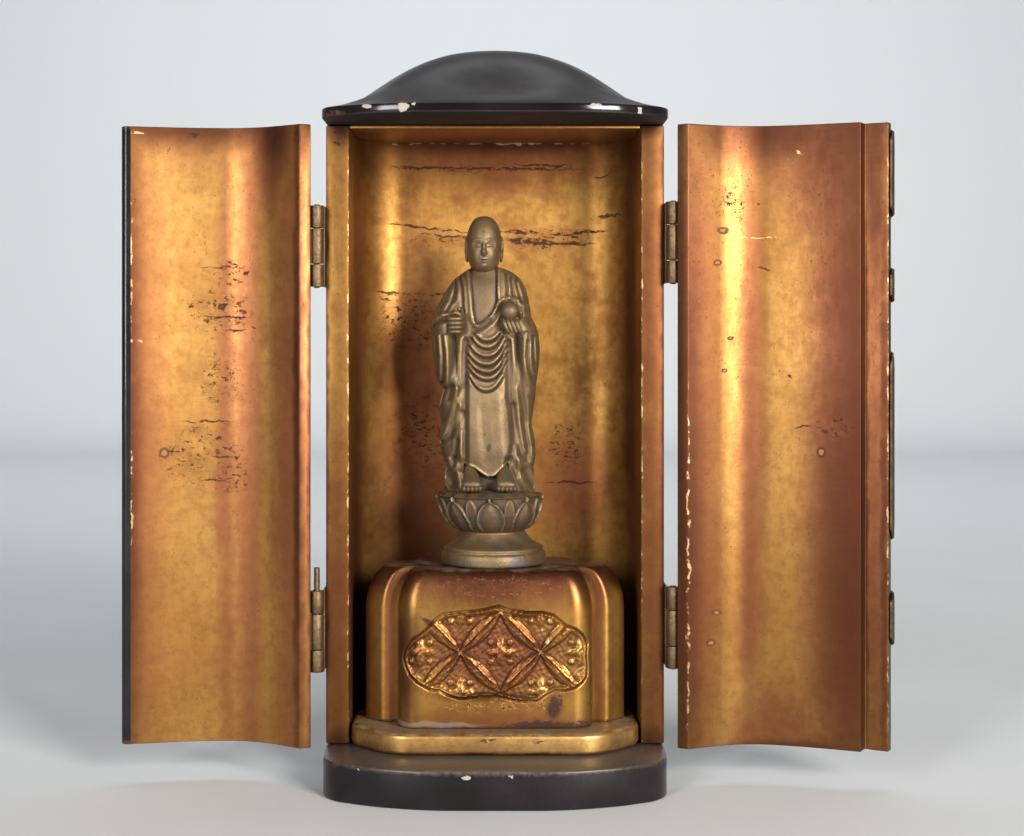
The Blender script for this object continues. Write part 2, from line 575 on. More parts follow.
left_gold = gilding(
    "left door gilding",
    dim=(
        ((2, -28, 110), (20, 12, 190), 0),
        ((-49, -8, 110), (10, 16, 190), 0),
        ((-30, -20.6, 110), (5.4, 9, 170), 0),
        ((-37, -20, 110), (8, 8, 190), 0),
        ((-22, -26, 214), (60, 30, 26), 0),
        ((-42, -16, 200), (12, 16, 36), 0),
    ),
    burnt=(
        ((-24, -24, 208), (70, 50, 12), 0),
        ((-50.5, -6, 205), (5, 6, 18), 0),
        ((1, -28, 110), (8, 3, 190), 0),
        ((-49.6, -6.2, 110), (3, 2.6, 190), 0),
        ((-53.4, -5.2, 110), (1.8, 1.4, 190), 0),
        ((-44, -14, 208), (12, 12, 24), 0),
    ),
    cracks=(
        ((-28, -24, 162.2), (8, 8, 0.3), 0),
        ((-32, -22, 163.6), (2.4, 6, 0.4), -12),
        ((-36, -20, 160.5), (1.2, 6, 0.8), 30),
        ((-33, -22, 158.4), (0.9, 6, 0.5), 0),
        ((-27, -24, 151), (0.7, 6, 1.6), 0),
        ((-29, -24, 149.6), (1.4, 6, 1.2), 40),
        ((-19.5, -26, 149.8), (1.1, 6, 1.1), 20),
        ((-35, -20, 148), (1.7, 6, 0.7), -30),
        ((-30, -23, 146.4), (9, 8, 0.3), -1),
        ((-33, -22, 142.2), (3.4, 6, 0.35), 2),
        ((-24, -25, 145), (1, 6, 0.5), 0),
        ((-38, -18, 143), (1.2, 6, 0.4), 0),
        ((-24, -25, 113.4), (10, 8, 0.35), 0),
        ((-28, -24, 108), (1.2, 6, 1.2), 30),
        ((-30, -23, 102), (6, 6, 0.4), -2),
        ((-27, -24, 95), (7, 6, 0.35), 2),
        ((-14, -26.5, 104), (2.4, 6, 0.3), 0),
        ((-20, -26, 204.2), (2.4, 6, 0.9), 10),
        ((0.6, -30.5, 138.6), (2.4, 6, 0.5), 0),
    ),
    stains=(
        ((-29, -23, 160), (10, 8, 6), 0),
        ((-27, -23, 148), (16, 9, 10), 0),
        ((-24, -25, 103), (20, 9, 15), 0),
        ((-28, -24, 126), (9, 7, 12), 0),
        ((-31, -22, 96), (10, 9, 8), 0),
    ),
    pits=(((-11.3, -27.3, 103.6), (2.3, 5, 2.2), 0), ((-2, -28.6, 183), (0.6, 3, 0.6), 0)),
    bright=(
        ((-1.1, -28.8, 164), (0.5, 2, 26), 0),
        ((-1.1, -28.8, 92), (0.4, 2, 22), 0),
        ((-3, -28.6, 204.2), (3, 3, 0.6), 0),
        ((-2.6, -28.6, 139), (2.4, 3, 0.7), -14),
    ),
    shade=0.93,
    green=1.24,
    blue=1.4,
    hung=True,
)
left_black = black_lacquer(
    "left door lacquer",
    chips=(((-30, -26.8, 13), (2.4, 2, 1.0), 0), ((-46, -16, 205.8), (1.6, 2.4, 0.9), 0),
           ((-8, -31.2, 150), (0.8, 1, 1.2), 0), ((1.6, -32.4, 64), (0.9, 1.2, 2.0), 0)),
    rubs=(((-22, -28, 12.5), (44, 14, 1.6), 0), ((-22, -28, 206.2), (44, 14, 1.2), 0),
          ((1.8, -32.6, 110), (1.1, 1.4, 100), 0)),
    hung=True,
)
clad(left_door, left_black, lambda at, face: True)
clad(left_door, left_gold, in_door)
hang(left_door, LEFT_PIN, LEFT_OPEN)
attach(left_door, "left_door")
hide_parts("door_left")

STRIP = (
    (6.4, -31.45), (6.4, -36.51), (0, -36.91), (-5.2, -36.51), (-5.2, -32.91), (2.1, -32.91), (2.1, -28.48),
)
right_door = bent_board("right_door_board", 1, STRIP)
round_upright(right_door, 1.1, 5, (6.4, -36.51), (-5.2, -36.51))
ease_edges(right_door, 0.35, 3, 40)


def in_right_door(at, face):
    """The right door's inner face, its hinge edge, and the back of the strip that shows when open."""
    if abs(face.z) > 0.5:
        return False
    strip_back = at.x < 2.6 and at.y > -33.3 and (face.y > 0.3 or at.x > 1.6)
    return strip_back or in_door(Vector((-max(at.x, 2.0), at.y, at.z)), face)


right_gold = gilding(
    "right door gilding",
    dim=(
        ((7, -27, 110), (19, 12, 190), 0),
        ((48, -9, 110), (11, 16, 190), 0),
        ((34.2, -19, 110), (6.5, 10, 170), 0),
        ((30, -24, 14), (24, 12, 26), 0),
        ((24, -26, 214), (60, 34, 50), 0),
        ((24, -26, 10), (44, 14, 12), 0),
        ((14, -27, 196), (20, 10, 50), 0),
        ((2.2, -31, 110), (1.6, 4, 190), 0),
        ((-2, -33, 110), (7, 3, 190), 0),
    ),
    burnt=(
        ((51.5, -5.2, 110), (3.4, 1.4, 190), 0),
        ((3, -28.4, 110), (26, 7.6, 220), 0),
        ((6, -27, 200), (26, 10, 70), 0),
        ((24, -24, 208), (70, 50, 20), 0),
        ((51, -7, 110), (7.5, 10, 190), 0),
        ((35, -16, 110), (4, 8, 170), 0),
        ((20, -26, 10), (60, 20, 6), 0),
        ((1.8, -32.9, 110), (1.9, 1.2, 190), 0),
        ((-3.9, -32.9, 110), (2.6, 1.2, 190), 0),
        ((-1, -32.9, 190), (6, 2, 60), 0),
        ((-2, -32.9, 204), (6, 1.2, 5), 0),
    ),
    cracks=(
        ((31.5, -24, 161.5), (2.4, 6, 0.4), -20),
        ((18, -26.4, 112), (5, 6, 0.35), 2),
        ((24, -25.6, 128), (0.7, 6, 0.7), 0),
        ((33, -24, 192), (0.6, 6, 0.6), 0),
        ((33, -24, 182), (0.6, 6, 0.5), 0),
    ),
    stains=(((40, -17, 182), (5, 8, 8), 0), ((10, -27, 112), (9, 6, 5), 0)),
    pits=(
        ((42.2, -16, 173.5), (1.9, 5, 1.5), 0),
        ((43.3, -14, 163.4), (1.3, 5, 1.2), 0),
        ((40.4, -18, 139.8), (1.1, 5, 0.9), 0),
        ((41.8, -16, 129.6), (0.9, 5, 0.9), 0),
        ((14.2, -27, 104.3), (1.9, 5, 2.2), 0),
        ((43.6, -14, 54), (1.5, 5, 1.2), 0),
        ((44.7, -12, 44.7), (1.6, 5, 1.5), 0),
    ),
    bright=(
        ((-5.2, -33, 110), (0.4, 1, 120), 0),
        ((23.5, -25.5, 195), (1.5, 6, 0.6), -40),
        ((20.6, -26, 197.6), (1.3, 6, 0.6), -40),
        ((33, -24, 171.4), (9, 8, 0.22), 0),
        ((49.6, -5.5, 60), (0.4, 1, 80), 0),
    ),
    shade=0.73,
    green=1.24,
    blue=1.4,
    hung=True,
)
right_black = black_lacquer(
    "right door lacquer",
    chips=(((34, -26, 13), (2.2, 2, 0.9), 0), ((47, -14.6, 110), (0.8, 1.2, 1.5), 0),
           ((-5.2, -36.4, 32), (0.9, 1.2, 2.4), 0), ((6.4, -36.4, 168), (0.9, 1.2, 1.8), 0)),
    rubs=(((24, -28, 12.5), (44, 14, 1.6), 0), ((24, -28, 206.2), (44, 14, 1.2), 0),
          ((-5.2, -36.5, 110), (1.0, 1.2, 100), 0), ((6.4, -36.5, 110), (1.0, 1.2, 100), 0)),
    hung=True,
)
clad(right_door, right_black, lambda at, face: True)
clad(right_door, right_gold, in_right_door)
hang(right_door, RIGHT_PIN, RIGHT_OPEN)
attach(right_door, "right_door")
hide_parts("door_right")


# The hinges. Cast and filed brass, each half a plate with its knuckles rolled round an iron-dark pin,
# nailed to the side wall and to the door. The lower left pin has crept up out of its knuckles.


def old_brass(name):
    """Brass gone dark olive and brown, grimy in specks and rubbed pale on its edges."""
    dark_brown, olive = (0.042, 0.024, 0.014, 1), (0.11, 0.066, 0.034, 1)
    grime_black, bare_brass = (0.02, 0.014, 0.012, 1), (0.3, 0.2, 0.1, 1)
    finish, tree, shader, where = new_finish(name)
    colour = tint(tree, clouds(tree, where, 320, 0.3, 0.7, 5), dark_brown, olive)
    grime = clouds(tree, where, 900, 0.5, 0.68, 5)
    colour = lay(tree, grime, 0.7, colour, grime_black)
    rubbed = level(tree, grow(tree, "NewGeometry").outputs["Pointiness"], 0.52, 0.6)
    colour = lay(tree, rubbed, 0.6, colour, bare_brass)
    tree.links.new(colour, shader.inputs["Base Color"])
    shader.inputs["Metallic"].default_value = 0.85
    tree.links.new(spread(tree, grime, 0.48, 0.66), shader.inputs["Roughness"])
    set_height(tree, shader, clouds(tree, where, 1100, 0.2, 0.8, 5), 0.00008)
    return finish


KNUCKLE_RADIUS, BORE_RADIUS, PIN_RADIUS = 2.2, 1.2, 0.9


def rolled(name, opening, foot, top):
    """A knuckle: sheet rolled nearly all the way round the left pin, open towards the given angle."""
    turns = [math.radians(opening + 8 + step * 344 / 30) for step in range(31)]
    outside = [(KNUCKLE_RADIUS * math.cos(turn), KNUCKLE_RADIUS * math.sin(turn)) for turn in turns]
    inside = [(BORE_RADIUS * math.cos(turn), BORE_RADIUS * math.sin(turn)) for turn in reversed(turns)]
    centre = LEFT_PIN / MM
    made = board(name, [(centre.x + x, centre.y + y) for x, y in outside + inside], foot, top)
    ease_edges(made, 0.18, 2, 50)
    return made


def nail_head(place, normal, radius):
    """A low domed head, set on a face."""
    bpy.ops.object.select_all(action="DESELECT")
    bpy.ops.mesh.primitive_uv_sphere_add(segments=14, ring_count=8, radius=radius * MM)
    made = bpy.context.object
    turn = Vector((0, 0, 1)).rotation_difference(normal).to_matrix().to_4x4()
    flat = Matrix.Diagonal((1, 1, 0.45, 1))
    made.data.transform(Matrix.Translation(place * MM) @ turn @ flat)
    bpy.ops.object.shade_smooth()
    return made


def join(name, pieces):
    """Makes one piece of several."""
    bpy.ops.object.select_all(action="DESELECT")
    for piece in pieces:
        piece.select_set(True)
    bpy.context.view_layer.objects.active = pieces[0]
    bpy.ops.object.join()
    pieces[0].name = pieces[0].data.name = name
    return pieces[0]


def mirror_over(made):
    """Turns a left-hand piece into its right-hand twin."""
    made.data.transform(Matrix.Diagonal((-1, 1, 1, 1)))
    made.data.flip_normals()


HINGE_HALF, KNUCKLE, PLAY = 12.7, 7.1, 0.15
WALL_OUT, SHEET, SQUARE_END = -54.15, 0.6, -5.15
DOOR_EDGE = Vector((-53.656, -6.142))
DOOR_ALONG = Vector((0.6, -0.8))


def strap(name, first, last, rise, lower, upper):
    """A flat plate on the outside of the shut left door, from one distance along it to another."""
    corners = [DOOR_EDGE + DOOR_ALONG * first, DOOR_EDGE + DOOR_ALONG * last]
    corners += [corners[1] - SIDE_INWARD * rise, corners[0] - SIDE_INWARD * rise]
    return board(name, corners, lower, upper)


for label, side, middle, lift in (
    ("upper_left", -1, 168.6, 0), ("lower_left", -1, 48.0, 6.9),
    ("upper_right", 1, 169.8, 0), ("lower_right", 1, 49.2, 0),
):
    foot, top = middle - HINGE_HALF, middle + HINGE_HALF
    low, high = foot + KNUCKLE, top - KNUCKLE
    plan = ((WALL_OUT, -7.5), (WALL_OUT + SHEET, -7.5), (WALL_OUT + SHEET, 4.25), (WALL_OUT, 4.25))
    leaf = board("case leaf", plan, foot, top)
    ease_edges(leaf, 0.15, 2)
    for vertex in leaf.data.vertices:
        if vertex.co.y < SQUARE_END * MM:
            vertex.co.y = SQUARE_END * MM
    pieces = [leaf]
    for start, end in ((foot, low - PLAY), (high + PLAY, top)):
        pieces.append(rolled("case knuckle", 30, start, end))
        tab = ((WALL_OUT, -7.6), (-53.62, -7.6), (-53.62, -5), (WALL_OUT, -5))
        pieces.append(board("case tab", tab, start, end))
    for along, rise in ((-2.4, 9.5), (-2.4, -9.5), (2.2, 0), (2.2, 9.5), (2.2, -9.5)):
        pieces.append(nail_head(Vector((WALL_OUT, along, middle + rise)), Vector((-1, 0, 0)), 0.85))
    fixed = join(f"hinge_{label}_case_half", pieces)
    if side > 0:
        mirror_over(fixed)
    fixed.data.materials.append(old_brass(f"{label} case half brass"))
    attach(fixed, "case")
    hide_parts(f"hinge_{label}_case_leaf")

    leaf = strap("door leaf", 2.6, 12, SHEET, foot, top)
    ease_edges(leaf, 0.15, 2)
    pieces = [leaf, strap("door tab", 0.4, 3.2, 0.9, low + PLAY, high - PLAY)]
    pieces.append(rolled("door knuckle", 250, low + PLAY, high - PLAY))
    for reach, rise in ((5.2, 9.5), (5.2, -9.5), (9.6, 0), (9.6, 9.5), (9.6, -9.5)):
        spot = (DOOR_EDGE + DOOR_ALONG * reach - SIDE_INWARD * SHEET).to_3d()
        spot.z = middle + rise
        pieces.append(nail_head(spot, -SIDE_INWARD.to_3d(), 0.85))
    moving = join(f"hinge_{label}_door_half", pieces)
    if side > 0:
        mirror_over(moving)
    axis, opened = (LEFT_PIN, LEFT_OPEN) if side < 0 else (RIGHT_PIN, RIGHT_OPEN)
    hang(moving, axis, opened)
    moving.data.materials.append(old_brass(f"{label} door half brass"))
    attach(moving, "left_door" if side < 0 else "right_door")
    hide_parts(f"hinge_{label}_door_leaf")

    turns = [2 * math.pi * step / 24 for step in range(24)]
    centre = axis / MM
    around = [(PIN_RADIUS * math.cos(turn), PIN_RADIUS * math.sin(turn)) for turn in turns]
    ring = [(centre.x + x, centre.y + y) for x, y in around]
    pin = board(f"hinge_{label}_pin_rod", ring, foot - 0.4 + lift, top + 0.4 + lift)
    ease_edges(pin, 0.25, 3, 50)
    pin.data.materials.append(old_brass(f"{label} pin brass"))
    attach(pin, "case")
    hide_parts(f"hinge_{label}_pin")


# The mounts on the meeting strip. Sheet brass, cut to a lobed outline, chased round its rim and nailed
# over the strip, with the fastener's knob on the long lock plate.

STRIP_LINE = (
    (-5.5, -33.2), (-5.5, -35.4), (-5.36, -36.2), (-4.9, -36.68), (-4.2, -36.86), (0, -37.21),
    (4.6, -36.86), (5.9, -36.75), (6.5, -36.3), (6.7, -35.4), (6.7, -31.8),
)
line = [Vector(spot) for spot in STRIP_LINE]
reaches = [0.0]
for before, after in zip(line, line[1:]):
    reaches.append(reaches[-1] + (after - before).length)


def on_strip(reach):
    """The place on the strip's face, so far along its outline from the left flank."""
    for index, (low, high) in enumerate(zip(reaches, reaches[1:])):
        if reach <= high or index == len(line) - 2:
            return line[index].lerp(line[index + 1], (reach - low) / (high - low))


def mount(name, foot, top, drawn_in):
    """A sheet that wraps the strip, drawn in over so many millimetres at each end."""
    columns, rows = 22, 40
    bpy.ops.object.select_all(action="DESELECT")
    bpy.ops.mesh.primitive_grid_add(x_subdivisions=columns, y_subdivisions=rows, size=1)
    made = bpy.context.object
    made.name = made.data.name = name
    middle, half = reaches[-1] / 2, reaches[-1] / 2 - 0.1
    for vertex in made.data.vertices:
        across, height = vertex.co.x * 2, foot + (top - foot) * (vertex.co.y + 0.5)
        from_end = min(height - foot, top - height) / drawn_in
        share = 0.35 + 0.65 * min(1, max(0, from_end)) ** 0.6
        place = on_strip(middle + across * half * share)
        vertex.co = Vector((place.x, place.y, height)) * MM
    face_out()
    if sum(face.normal.y for face in made.data.polygons) > 0:
        made.data.flip_normals()
    sheet = made.modifiers.new("sheet", "SOLIDIFY")
    sheet.thickness, sheet.offset = 0.8 * MM, 1
    bpy.ops.object.modifier_apply(modifier=sheet.name)
    ease_edges(made, 0.2, 2, 50)
    pieces = [made]
    for height in (foot + 3.2, top - 3.2):
        pieces.append(nail_head(Vector((0, -38.0, height)), Vector((0, -1, 0)), 0.9))
    return join(name, pieces)


for name, node, foot, top, drawn_in in (
    ("strip_mount_top_sheet", "strip_mount_top", 176.5, 205.2, 4),
    ("strip_plate_upper_sheet", "strip_plate_upper", 150.2, 162.2, 3),
    ("strip_plate_lock_sheet", "strip_plate_lock", 76.2, 136.7, 5),
    ("strip_mount_bottom_sheet", "strip_mount_bottom", 43.6, 62.2, 4),
):
    plate = mount(name, foot, top, drawn_in)
    hang(plate, RIGHT_PIN, RIGHT_OPEN)
    plate.data.materials.append(old_brass(f"{name} brass"))
    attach(plate, "right_door")
    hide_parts(node)


def loft(name, rings, sharper_than=50):
    """A closed skin through rings of the same number of points, in millimetres, from the bottom up."""
    count = len(rings[0])
    points = np.concatenate([np.asarray(ring, dtype=float) for ring in rings]) * MM
    faces = []
    for row in range(len(rings) - 1):
        low, high = row * count, (row + 1) * count
        for index in range(count):
            after = (index + 1) % count
            faces.append((low + index, low + after, high + after, high + index))
    faces.append(tuple(reversed(range(count))))
    faces.append(tuple(range(len(points) - count, len(points))))
    mesh = bpy.data.meshes.new(name)
    mesh.from_pydata([tuple(point) for point in points], [], faces)
    made = bpy.data.objects.new(name, mesh)
    bpy.context.scene.collection.objects.link(made)
    take(made)
    bpy.ops.object.shade_smooth_by_angle(angle=math.radians(sharper_than))
    return made


def turned(name, profile, sides=32):
    """A round piece: a line of (radius, height) spun about Z, closed at both ends."""
    turns = [2 * math.pi * side / sides for side in range(sides)]
    rings = []
    for radius, height in profile:
        rings.append([(radius * math.cos(turn), radius * math.sin(turn), height) for turn in turns])
    return loft(name, rings, 40)


CLASP_LINE = (
    (0.3, -8), (1.1, -7.6), (1.75, -6.6), (1.95, -5.4), (1.75, -4.4), (1.35, -3.6), (1.5, -2.6),
    (2.1, -1.4), (2.3, 0), (2.1, 1.2), (1.45, 2.3), (1.3, 3.2), (1.55, 4.4), (1.5, 5.6), (1.1, 6.8),
    (0.4, 7.9),
)
clasp = turned("strip_clasp_knob", CLASP_LINE)
clasp.data.transform(Matrix.Translation(Vector((0, -40.6, 87.7)) * MM))
hang(clasp, RIGHT_PIN, RIGHT_OPEN)
clasp.data.materials.append(old_brass("clasp brass"))
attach(clasp, "right_door")
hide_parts("strip_clasp")

STUD_LINE = (
    (2.6, 0), (2.6, 0.25), (2.45, 0.5), (2.5, 0.6), (2.2, 0.95), (1.6, 1.25), (0.9, 1.38), (0.3, 1.4),
)
STUD_PLACE = Vector((-13.04, -30.9, 102.2)) * MM
lean = Vector((0, 0, 1)).rotation_difference(-FRONT_INWARD.to_3d()).to_matrix().to_4x4()
for side, body, axis, opened in (
    (-1, "left_door", LEFT_PIN, LEFT_OPEN), (1, "right_door", RIGHT_PIN, RIGHT_OPEN),
):
    stud = turned(f"door_stud_{'left' if side < 0 else 'right'}_boss", STUD_LINE)
    stud.data.transform(Matrix.Translation(STUD_PLACE) @ lean)
    if side > 0:
        mirror_over(stud)
    hang(stud, axis, opened)
    stud.data.materials.append(old_brass(f"{body} stud brass"))
    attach(stud, body)
    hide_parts(f"door_stud_{'left' if side < 0 else 'right'}")


# The plinth. A gilt board under the pedestal, with canted and rounded corners; dust lies on its top and
# its front is cracked near the left end.

PLINTH_PLAN = (
    (-32.5, -20.95), (32.5, -20.95), (45.2, -6.85), (45.2, 24.15), (-45.2, 24.15), (-45.2, -6.85),
)
plinth = board("plinth_board", PLINTH_PLAN, 12.1, 18.7)
round_upright(plinth, 14, 10, (-32.5, -20.95), (32.5, -20.95))
round_upright(plinth, 9, 8, (45.2, -6.85), (-45.2, -6.85))
round_upright(plinth, 14, 10, (45.2, 24.15), (-45.2, 24.15))
ease_edges(plinth, 1.5, 6)
plinth.data.materials.append(
    gilding(
        "plinth gilding",
        cracks=(((-34.2, -20, 14.8), (0.6, 4, 4.2), 8), ((-2, -21, 16.8), (4.0, 3, 0.6), 0),
                ((13, -21, 16.4), (3, 3, 0.5), 0)),
        stains=(((-38, -14, 13), (8, 10, 3), 0), ((0, -20.9, 18.4), (40, 2, 0.7), 0)),
        burnt=(((0, -21, 12.2), (60, 20, 1.2), 0),),
        dust=(((0, -4, 19.4), (90, 70, 1.5), 0),),
        deep=0.35,
        shade=1.0,
        green=1.42,
        blue=1.9,
        sheen=(0.3, 0.38),
    )
)
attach(plinth, "case")
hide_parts("pedestal_plinth")


# The pedestal. Carved from one block, with a broad lobe in front and narrow ones at the sides, rounded
# over to a flat top and gilt all over. The panel in front is moulded in lacquer paste: a net of leaves
# round a flower, with pearls between, inside a lobed rim that has cracked away from the face.


def note(made, name, values):
    """Keeps one number a point on the mesh, for its finish to read."""
    kept = made.data.attributes.new(name, "FLOAT", "POINT")
    kept.data.foreach_set("value", np.asarray(values, dtype=np.float32).ravel())


def round_off(corners, step=0.5):
    """The outline with each (x, y, radius) corner rounded, in points no further apart than the step."""
    shaped = []
    count = len(corners)
    for index, (x, y, radius) in enumerate(corners):
        here = Vector((x, y))
        before = (Vector(corners[index - 1][:2]) - here).normalized()
        after = (Vector(corners[(index + 1) % count][:2]) - here).normalized()
        if not radius:
            shaped.append(here)
            continue
        half = before.angle(after) / 2
        middle = here + (before + after).normalized() * (radius / math.sin(half))
        start = here + before * (radius / math.tan(half)) - middle
        end = here + after * (radius / math.tan(half)) - middle
        turn = start.angle_signed(end)
        steps = max(3, math.ceil(abs(turn) * radius / step))
        for number in range(steps + 1):
            shaped.append(middle + Matrix.Rotation(-turn * number / steps, 2) @ start)
    filled = []
    for here, after in zip(shaped, shaped[1:] + shaped[:1]):
        steps = max(1, math.ceil((after - here).length / step))
        filled += [here.lerp(after, number / steps) for number in range(steps)]
    return np.array([(point.x, point.y) for point in filled])


def smooth_step(value):
    """Rises softly from 0 to 1."""
    value = np.clip(value, 0, 1)
    return value * value * (3 - 2 * value)


def smoothed(values, passes):
    """Averages every value with its four neighbours, so many times over."""
    for _ in range(passes):
        beside = np.roll(values, 1, 0) + np.roll(values, -1, 0)
        values = (beside + np.roll(values, 1, 1) + np.roll(values, -1, 1)) / 4
    return values


def near_line(x, z, places):
    """How far each point is from a line drawn through the places."""
    found = np.full(x.shape, 1e9)
    for (x0, z0), (x1, z1) in zip(places, places[1:]):
        dx, dz = x1 - x0, z1 - z0
        share = np.clip(((x - x0) * dx + (z - z0) * dz) / (dx * dx + dz * dz), 0, 1)
        found = np.minimum(found, np.hypot(x - x0 - share * dx, z - z0 - share * dz))
    return found


def inside_of(x, z, places):
    """True for the points inside the closed line through the places."""
    found = np.zeros(x.shape, bool)
    for (x0, z0), (x1, z1) in zip(places, places[1:] + places[:1]):
        if z0 == z1:
            continue
        found ^= ((z0 > z) != (z1 > z)) & (x < (x1 - x0) * (z - z0) / (z1 - z0) + x0)
    return found


PEDESTAL_FOOT, PEDESTAL_HEIGHT, SHOULDER, PEDESTAL_MIDDLE = 19.0, 48.6, 14.0, 5.85
QUARTER = ((30.6, -20, 6.5), (30.6, -9.54, 0), (35.37, -10.07, 2.54), (41.2, -5.3, 4.98))
right_half = list(QUARTER) + [(x, -y, radius) for x, y, radius in reversed(QUARTER)]
plan = round_off(right_half + [(-x, y, radius) for x, y, radius in reversed(right_half)], 0.26)
carved_side = plan[:, 1] < -9
plan = plan[carved_side | (np.arange(len(plan)) % 3 == 0)]
PANEL_RIM = [
    (1.2, 56.9), (4.3, 55.7), (9.3, 55.0), (14.2, 55.0), (18.0, 54.1), (21.7, 51.0), (24.8, 49.8),
    (27.2, 47.9), (28.8, 44.8), (28.5, 41.4), (28.8, 38.0), (28.5, 34.9), (27.2, 33.1), (24.8, 31.5),
    (21.7, 30.6), (18.6, 30.6), (16.1, 29.3), (13.6, 27.5), (9.3, 27.2), (5.0, 27.8), (1.2, 28.6),
    (-3.1, 28.8), (-7.4, 28.4), (-11.1, 28.1), (-14.9, 29.3), (-17.3, 30.6), (-20.4, 30.9),
    (-24.1, 33.1), (-26.6, 35.5), (-27.9, 38.0), (-28.5, 40.5), (-27.9, 43.6), (-26.0, 46.1),
    (-23.5, 47.9), (-21.1, 49.8), (-19.2, 52.2), (-16.1, 54.4), (-11.1, 55.0), (-6.2, 55.3), (-2.5, 56.0),
]
heights = np.concatenate([
    np.linspace(0, 6, 14, endpoint=False), np.linspace(6, 40, 125, endpoint=False),
    np.linspace(40, PEDESTAL_HEIGHT, 30),
])
rings = []
for height in heights:
    turn = math.asin(min(1.0, max(0.0, (height - (PEDESTAL_HEIGHT - SHOULDER)) / SHOULDER)))
    eased = 0.4 * (1 - min(1.0, height / 0.4))
    ring = plan * (0.8 + 0.2 * math.cos(turn)) * (1 - eased / 40)
    rings.append(np.column_stack([ring, np.full(len(ring), PEDESTAL_FOOT + height)]))
skin = np.array(rings)
x, y, z = skin[..., 0], skin[..., 1], skin[..., 2]
edge = near_line(x, z, PANEL_RIM + PANEL_RIM[:1])
within = inside_of(x, z, PANEL_RIM)
deep = np.where(within, edge, -edge)
SUNK = 0.75
relief = -SUNK * smooth_step((deep - 0.5) / 0.9)
cracked = 0.4 + 0.6 * smooth_step(0.5 + 0.8 * np.sin(x * 0.23 + 1.4) * np.cos(z * 0.31 - x * 0.11))
relief -= 0.9 * cracked * np.clip(1 - np.abs(deep - 0.05) / 0.5, 0, 1)
relief += 0.45 * np.clip(1 - np.abs(deep - 1.15) / 0.7, 0, 1) ** 0.5
PITCH = 12.45
DIAGONAL = PITCH * 1.4142


def knots(odd):
    """Every other crossing of the net: where four leaves meet, or, with odd 1, where a flower sits."""
    for column in range(-3, 4):
        for row in range(-2, 3):
            if (column + row) % 2 == odd:
                yield 1.7 + (column + 1) * PITCH, 42.6 + row * PITCH


for knot_x, knot_z in knots(0):
    for tilt in (-1, 1):
        along = ((x - knot_x) + (z - knot_z) * tilt) * PITCH / DIAGONAL
        aside = np.abs((x - knot_x) * tilt - (z - knot_z)) * PITCH / DIAGONAL
        swell = np.sin(np.pi * np.clip(along / DIAGONAL, 0, 1)) ** 0.75
        lens = np.clip(1 - (aside / (2.5 * swell + 0.01)) ** 2, 0, 1) * (swell > 0.02)
        leaf = 1.35 * lens**0.5
        leaf -= 0.55 * np.clip(1 - aside / 0.3, 0, 1) * (lens > 0)
        leaf -= 0.22 * (0.5 + 0.5 * np.cos(aside * 7.4)) * (lens > 0)
        relief = np.where(within & (deep > 0.7) & (lens > 0), np.maximum(relief, leaf - SUNK), relief)
for knot_x, knot_z in knots(1):
    away, angle = np.hypot(x - knot_x, z - knot_z), np.arctan2(z - knot_z, x - knot_x)
    flower = np.clip(1 - away / (4.6 * (0.5 + 0.5 * np.cos(2 * angle) ** 2)), 0, 1)
    raised = 1.3 * flower**0.6 - 0.4 * np.clip(1 - away / 0.9, 0, 1)
    for turn in (math.pi / 4 + number * math.pi / 2 for number in range(4)):
        pearl_x, pearl_z = knot_x + 4.2 * math.cos(turn), knot_z + 4.2 * math.sin(turn)
        pearl = np.clip(1 - ((x - pearl_x) ** 2 + (z - pearl_z) ** 2) / 1.15**2, 0, 1)
        raised = np.maximum(raised, 0.85 * pearl**0.5)
    raised_face = np.maximum(relief, SUNK * (raised - 1))
    relief = np.where(within & (deep > 1.2) & (raised > 0), raised_face, relief)
worn = np.sin(x * 2.3 + 1.7 * np.sin(z * 1.1)) * np.sin(z * 2.7 + 1.9 * np.sin(x * 0.9))
relief += np.where(within & (deep > 1.2), 0.1 * worn, 0)
relief *= smooth_step((-y - 11) / 3)
skin[..., 1] += PEDESTAL_MIDDLE - relief
pedestal = loft("pedestal_block", list(skin))
soft = smoothed(relief, 6)
note(pedestal, "hollow", np.clip((soft - relief) * 2.2 + (relief < -0.5) * 0.45, 0, 1))
note(pedestal, "crest", np.clip((relief - soft) * 2.0 - 0.1, 0, 1))


def carved_gold(name, **kept):
    """Gilding over carving: brown and black in the hollows, rubbed bright on what stands out."""
    hollow_brown, bare_gold = (0.045, 0.016, 0.012, 1), (0.55, 0.3, 0.13, 1)
    finish = gilding(name, **kept)
    tree = finish.node_tree
    shader = tree.nodes["Principled BSDF"]
    colour = shader.inputs["Base Color"].links[0].from_socket
    rough = shader.inputs["Roughness"].links[0].from_socket
    hollow = grow(tree, "Attribute", attribute_name="hollow").outputs["Fac"]
    crest = grow(tree, "Attribute", attribute_name="crest").outputs["Fac"]
    colour = lay(tree, hollow, 0.85, colour, hollow_brown)
    colour = lay(tree, crest, 0.12, colour, bare_gold)
    tree.links.new(colour, shader.inputs["Base Color"])
    carved = combine(tree, "MULTIPLY", combine(tree, "MAXIMUM", hollow, crest), 0.34)
    tree.links.new(combine(tree, "ADD", rough, carved), shader.inputs["Roughness"])
    return finish


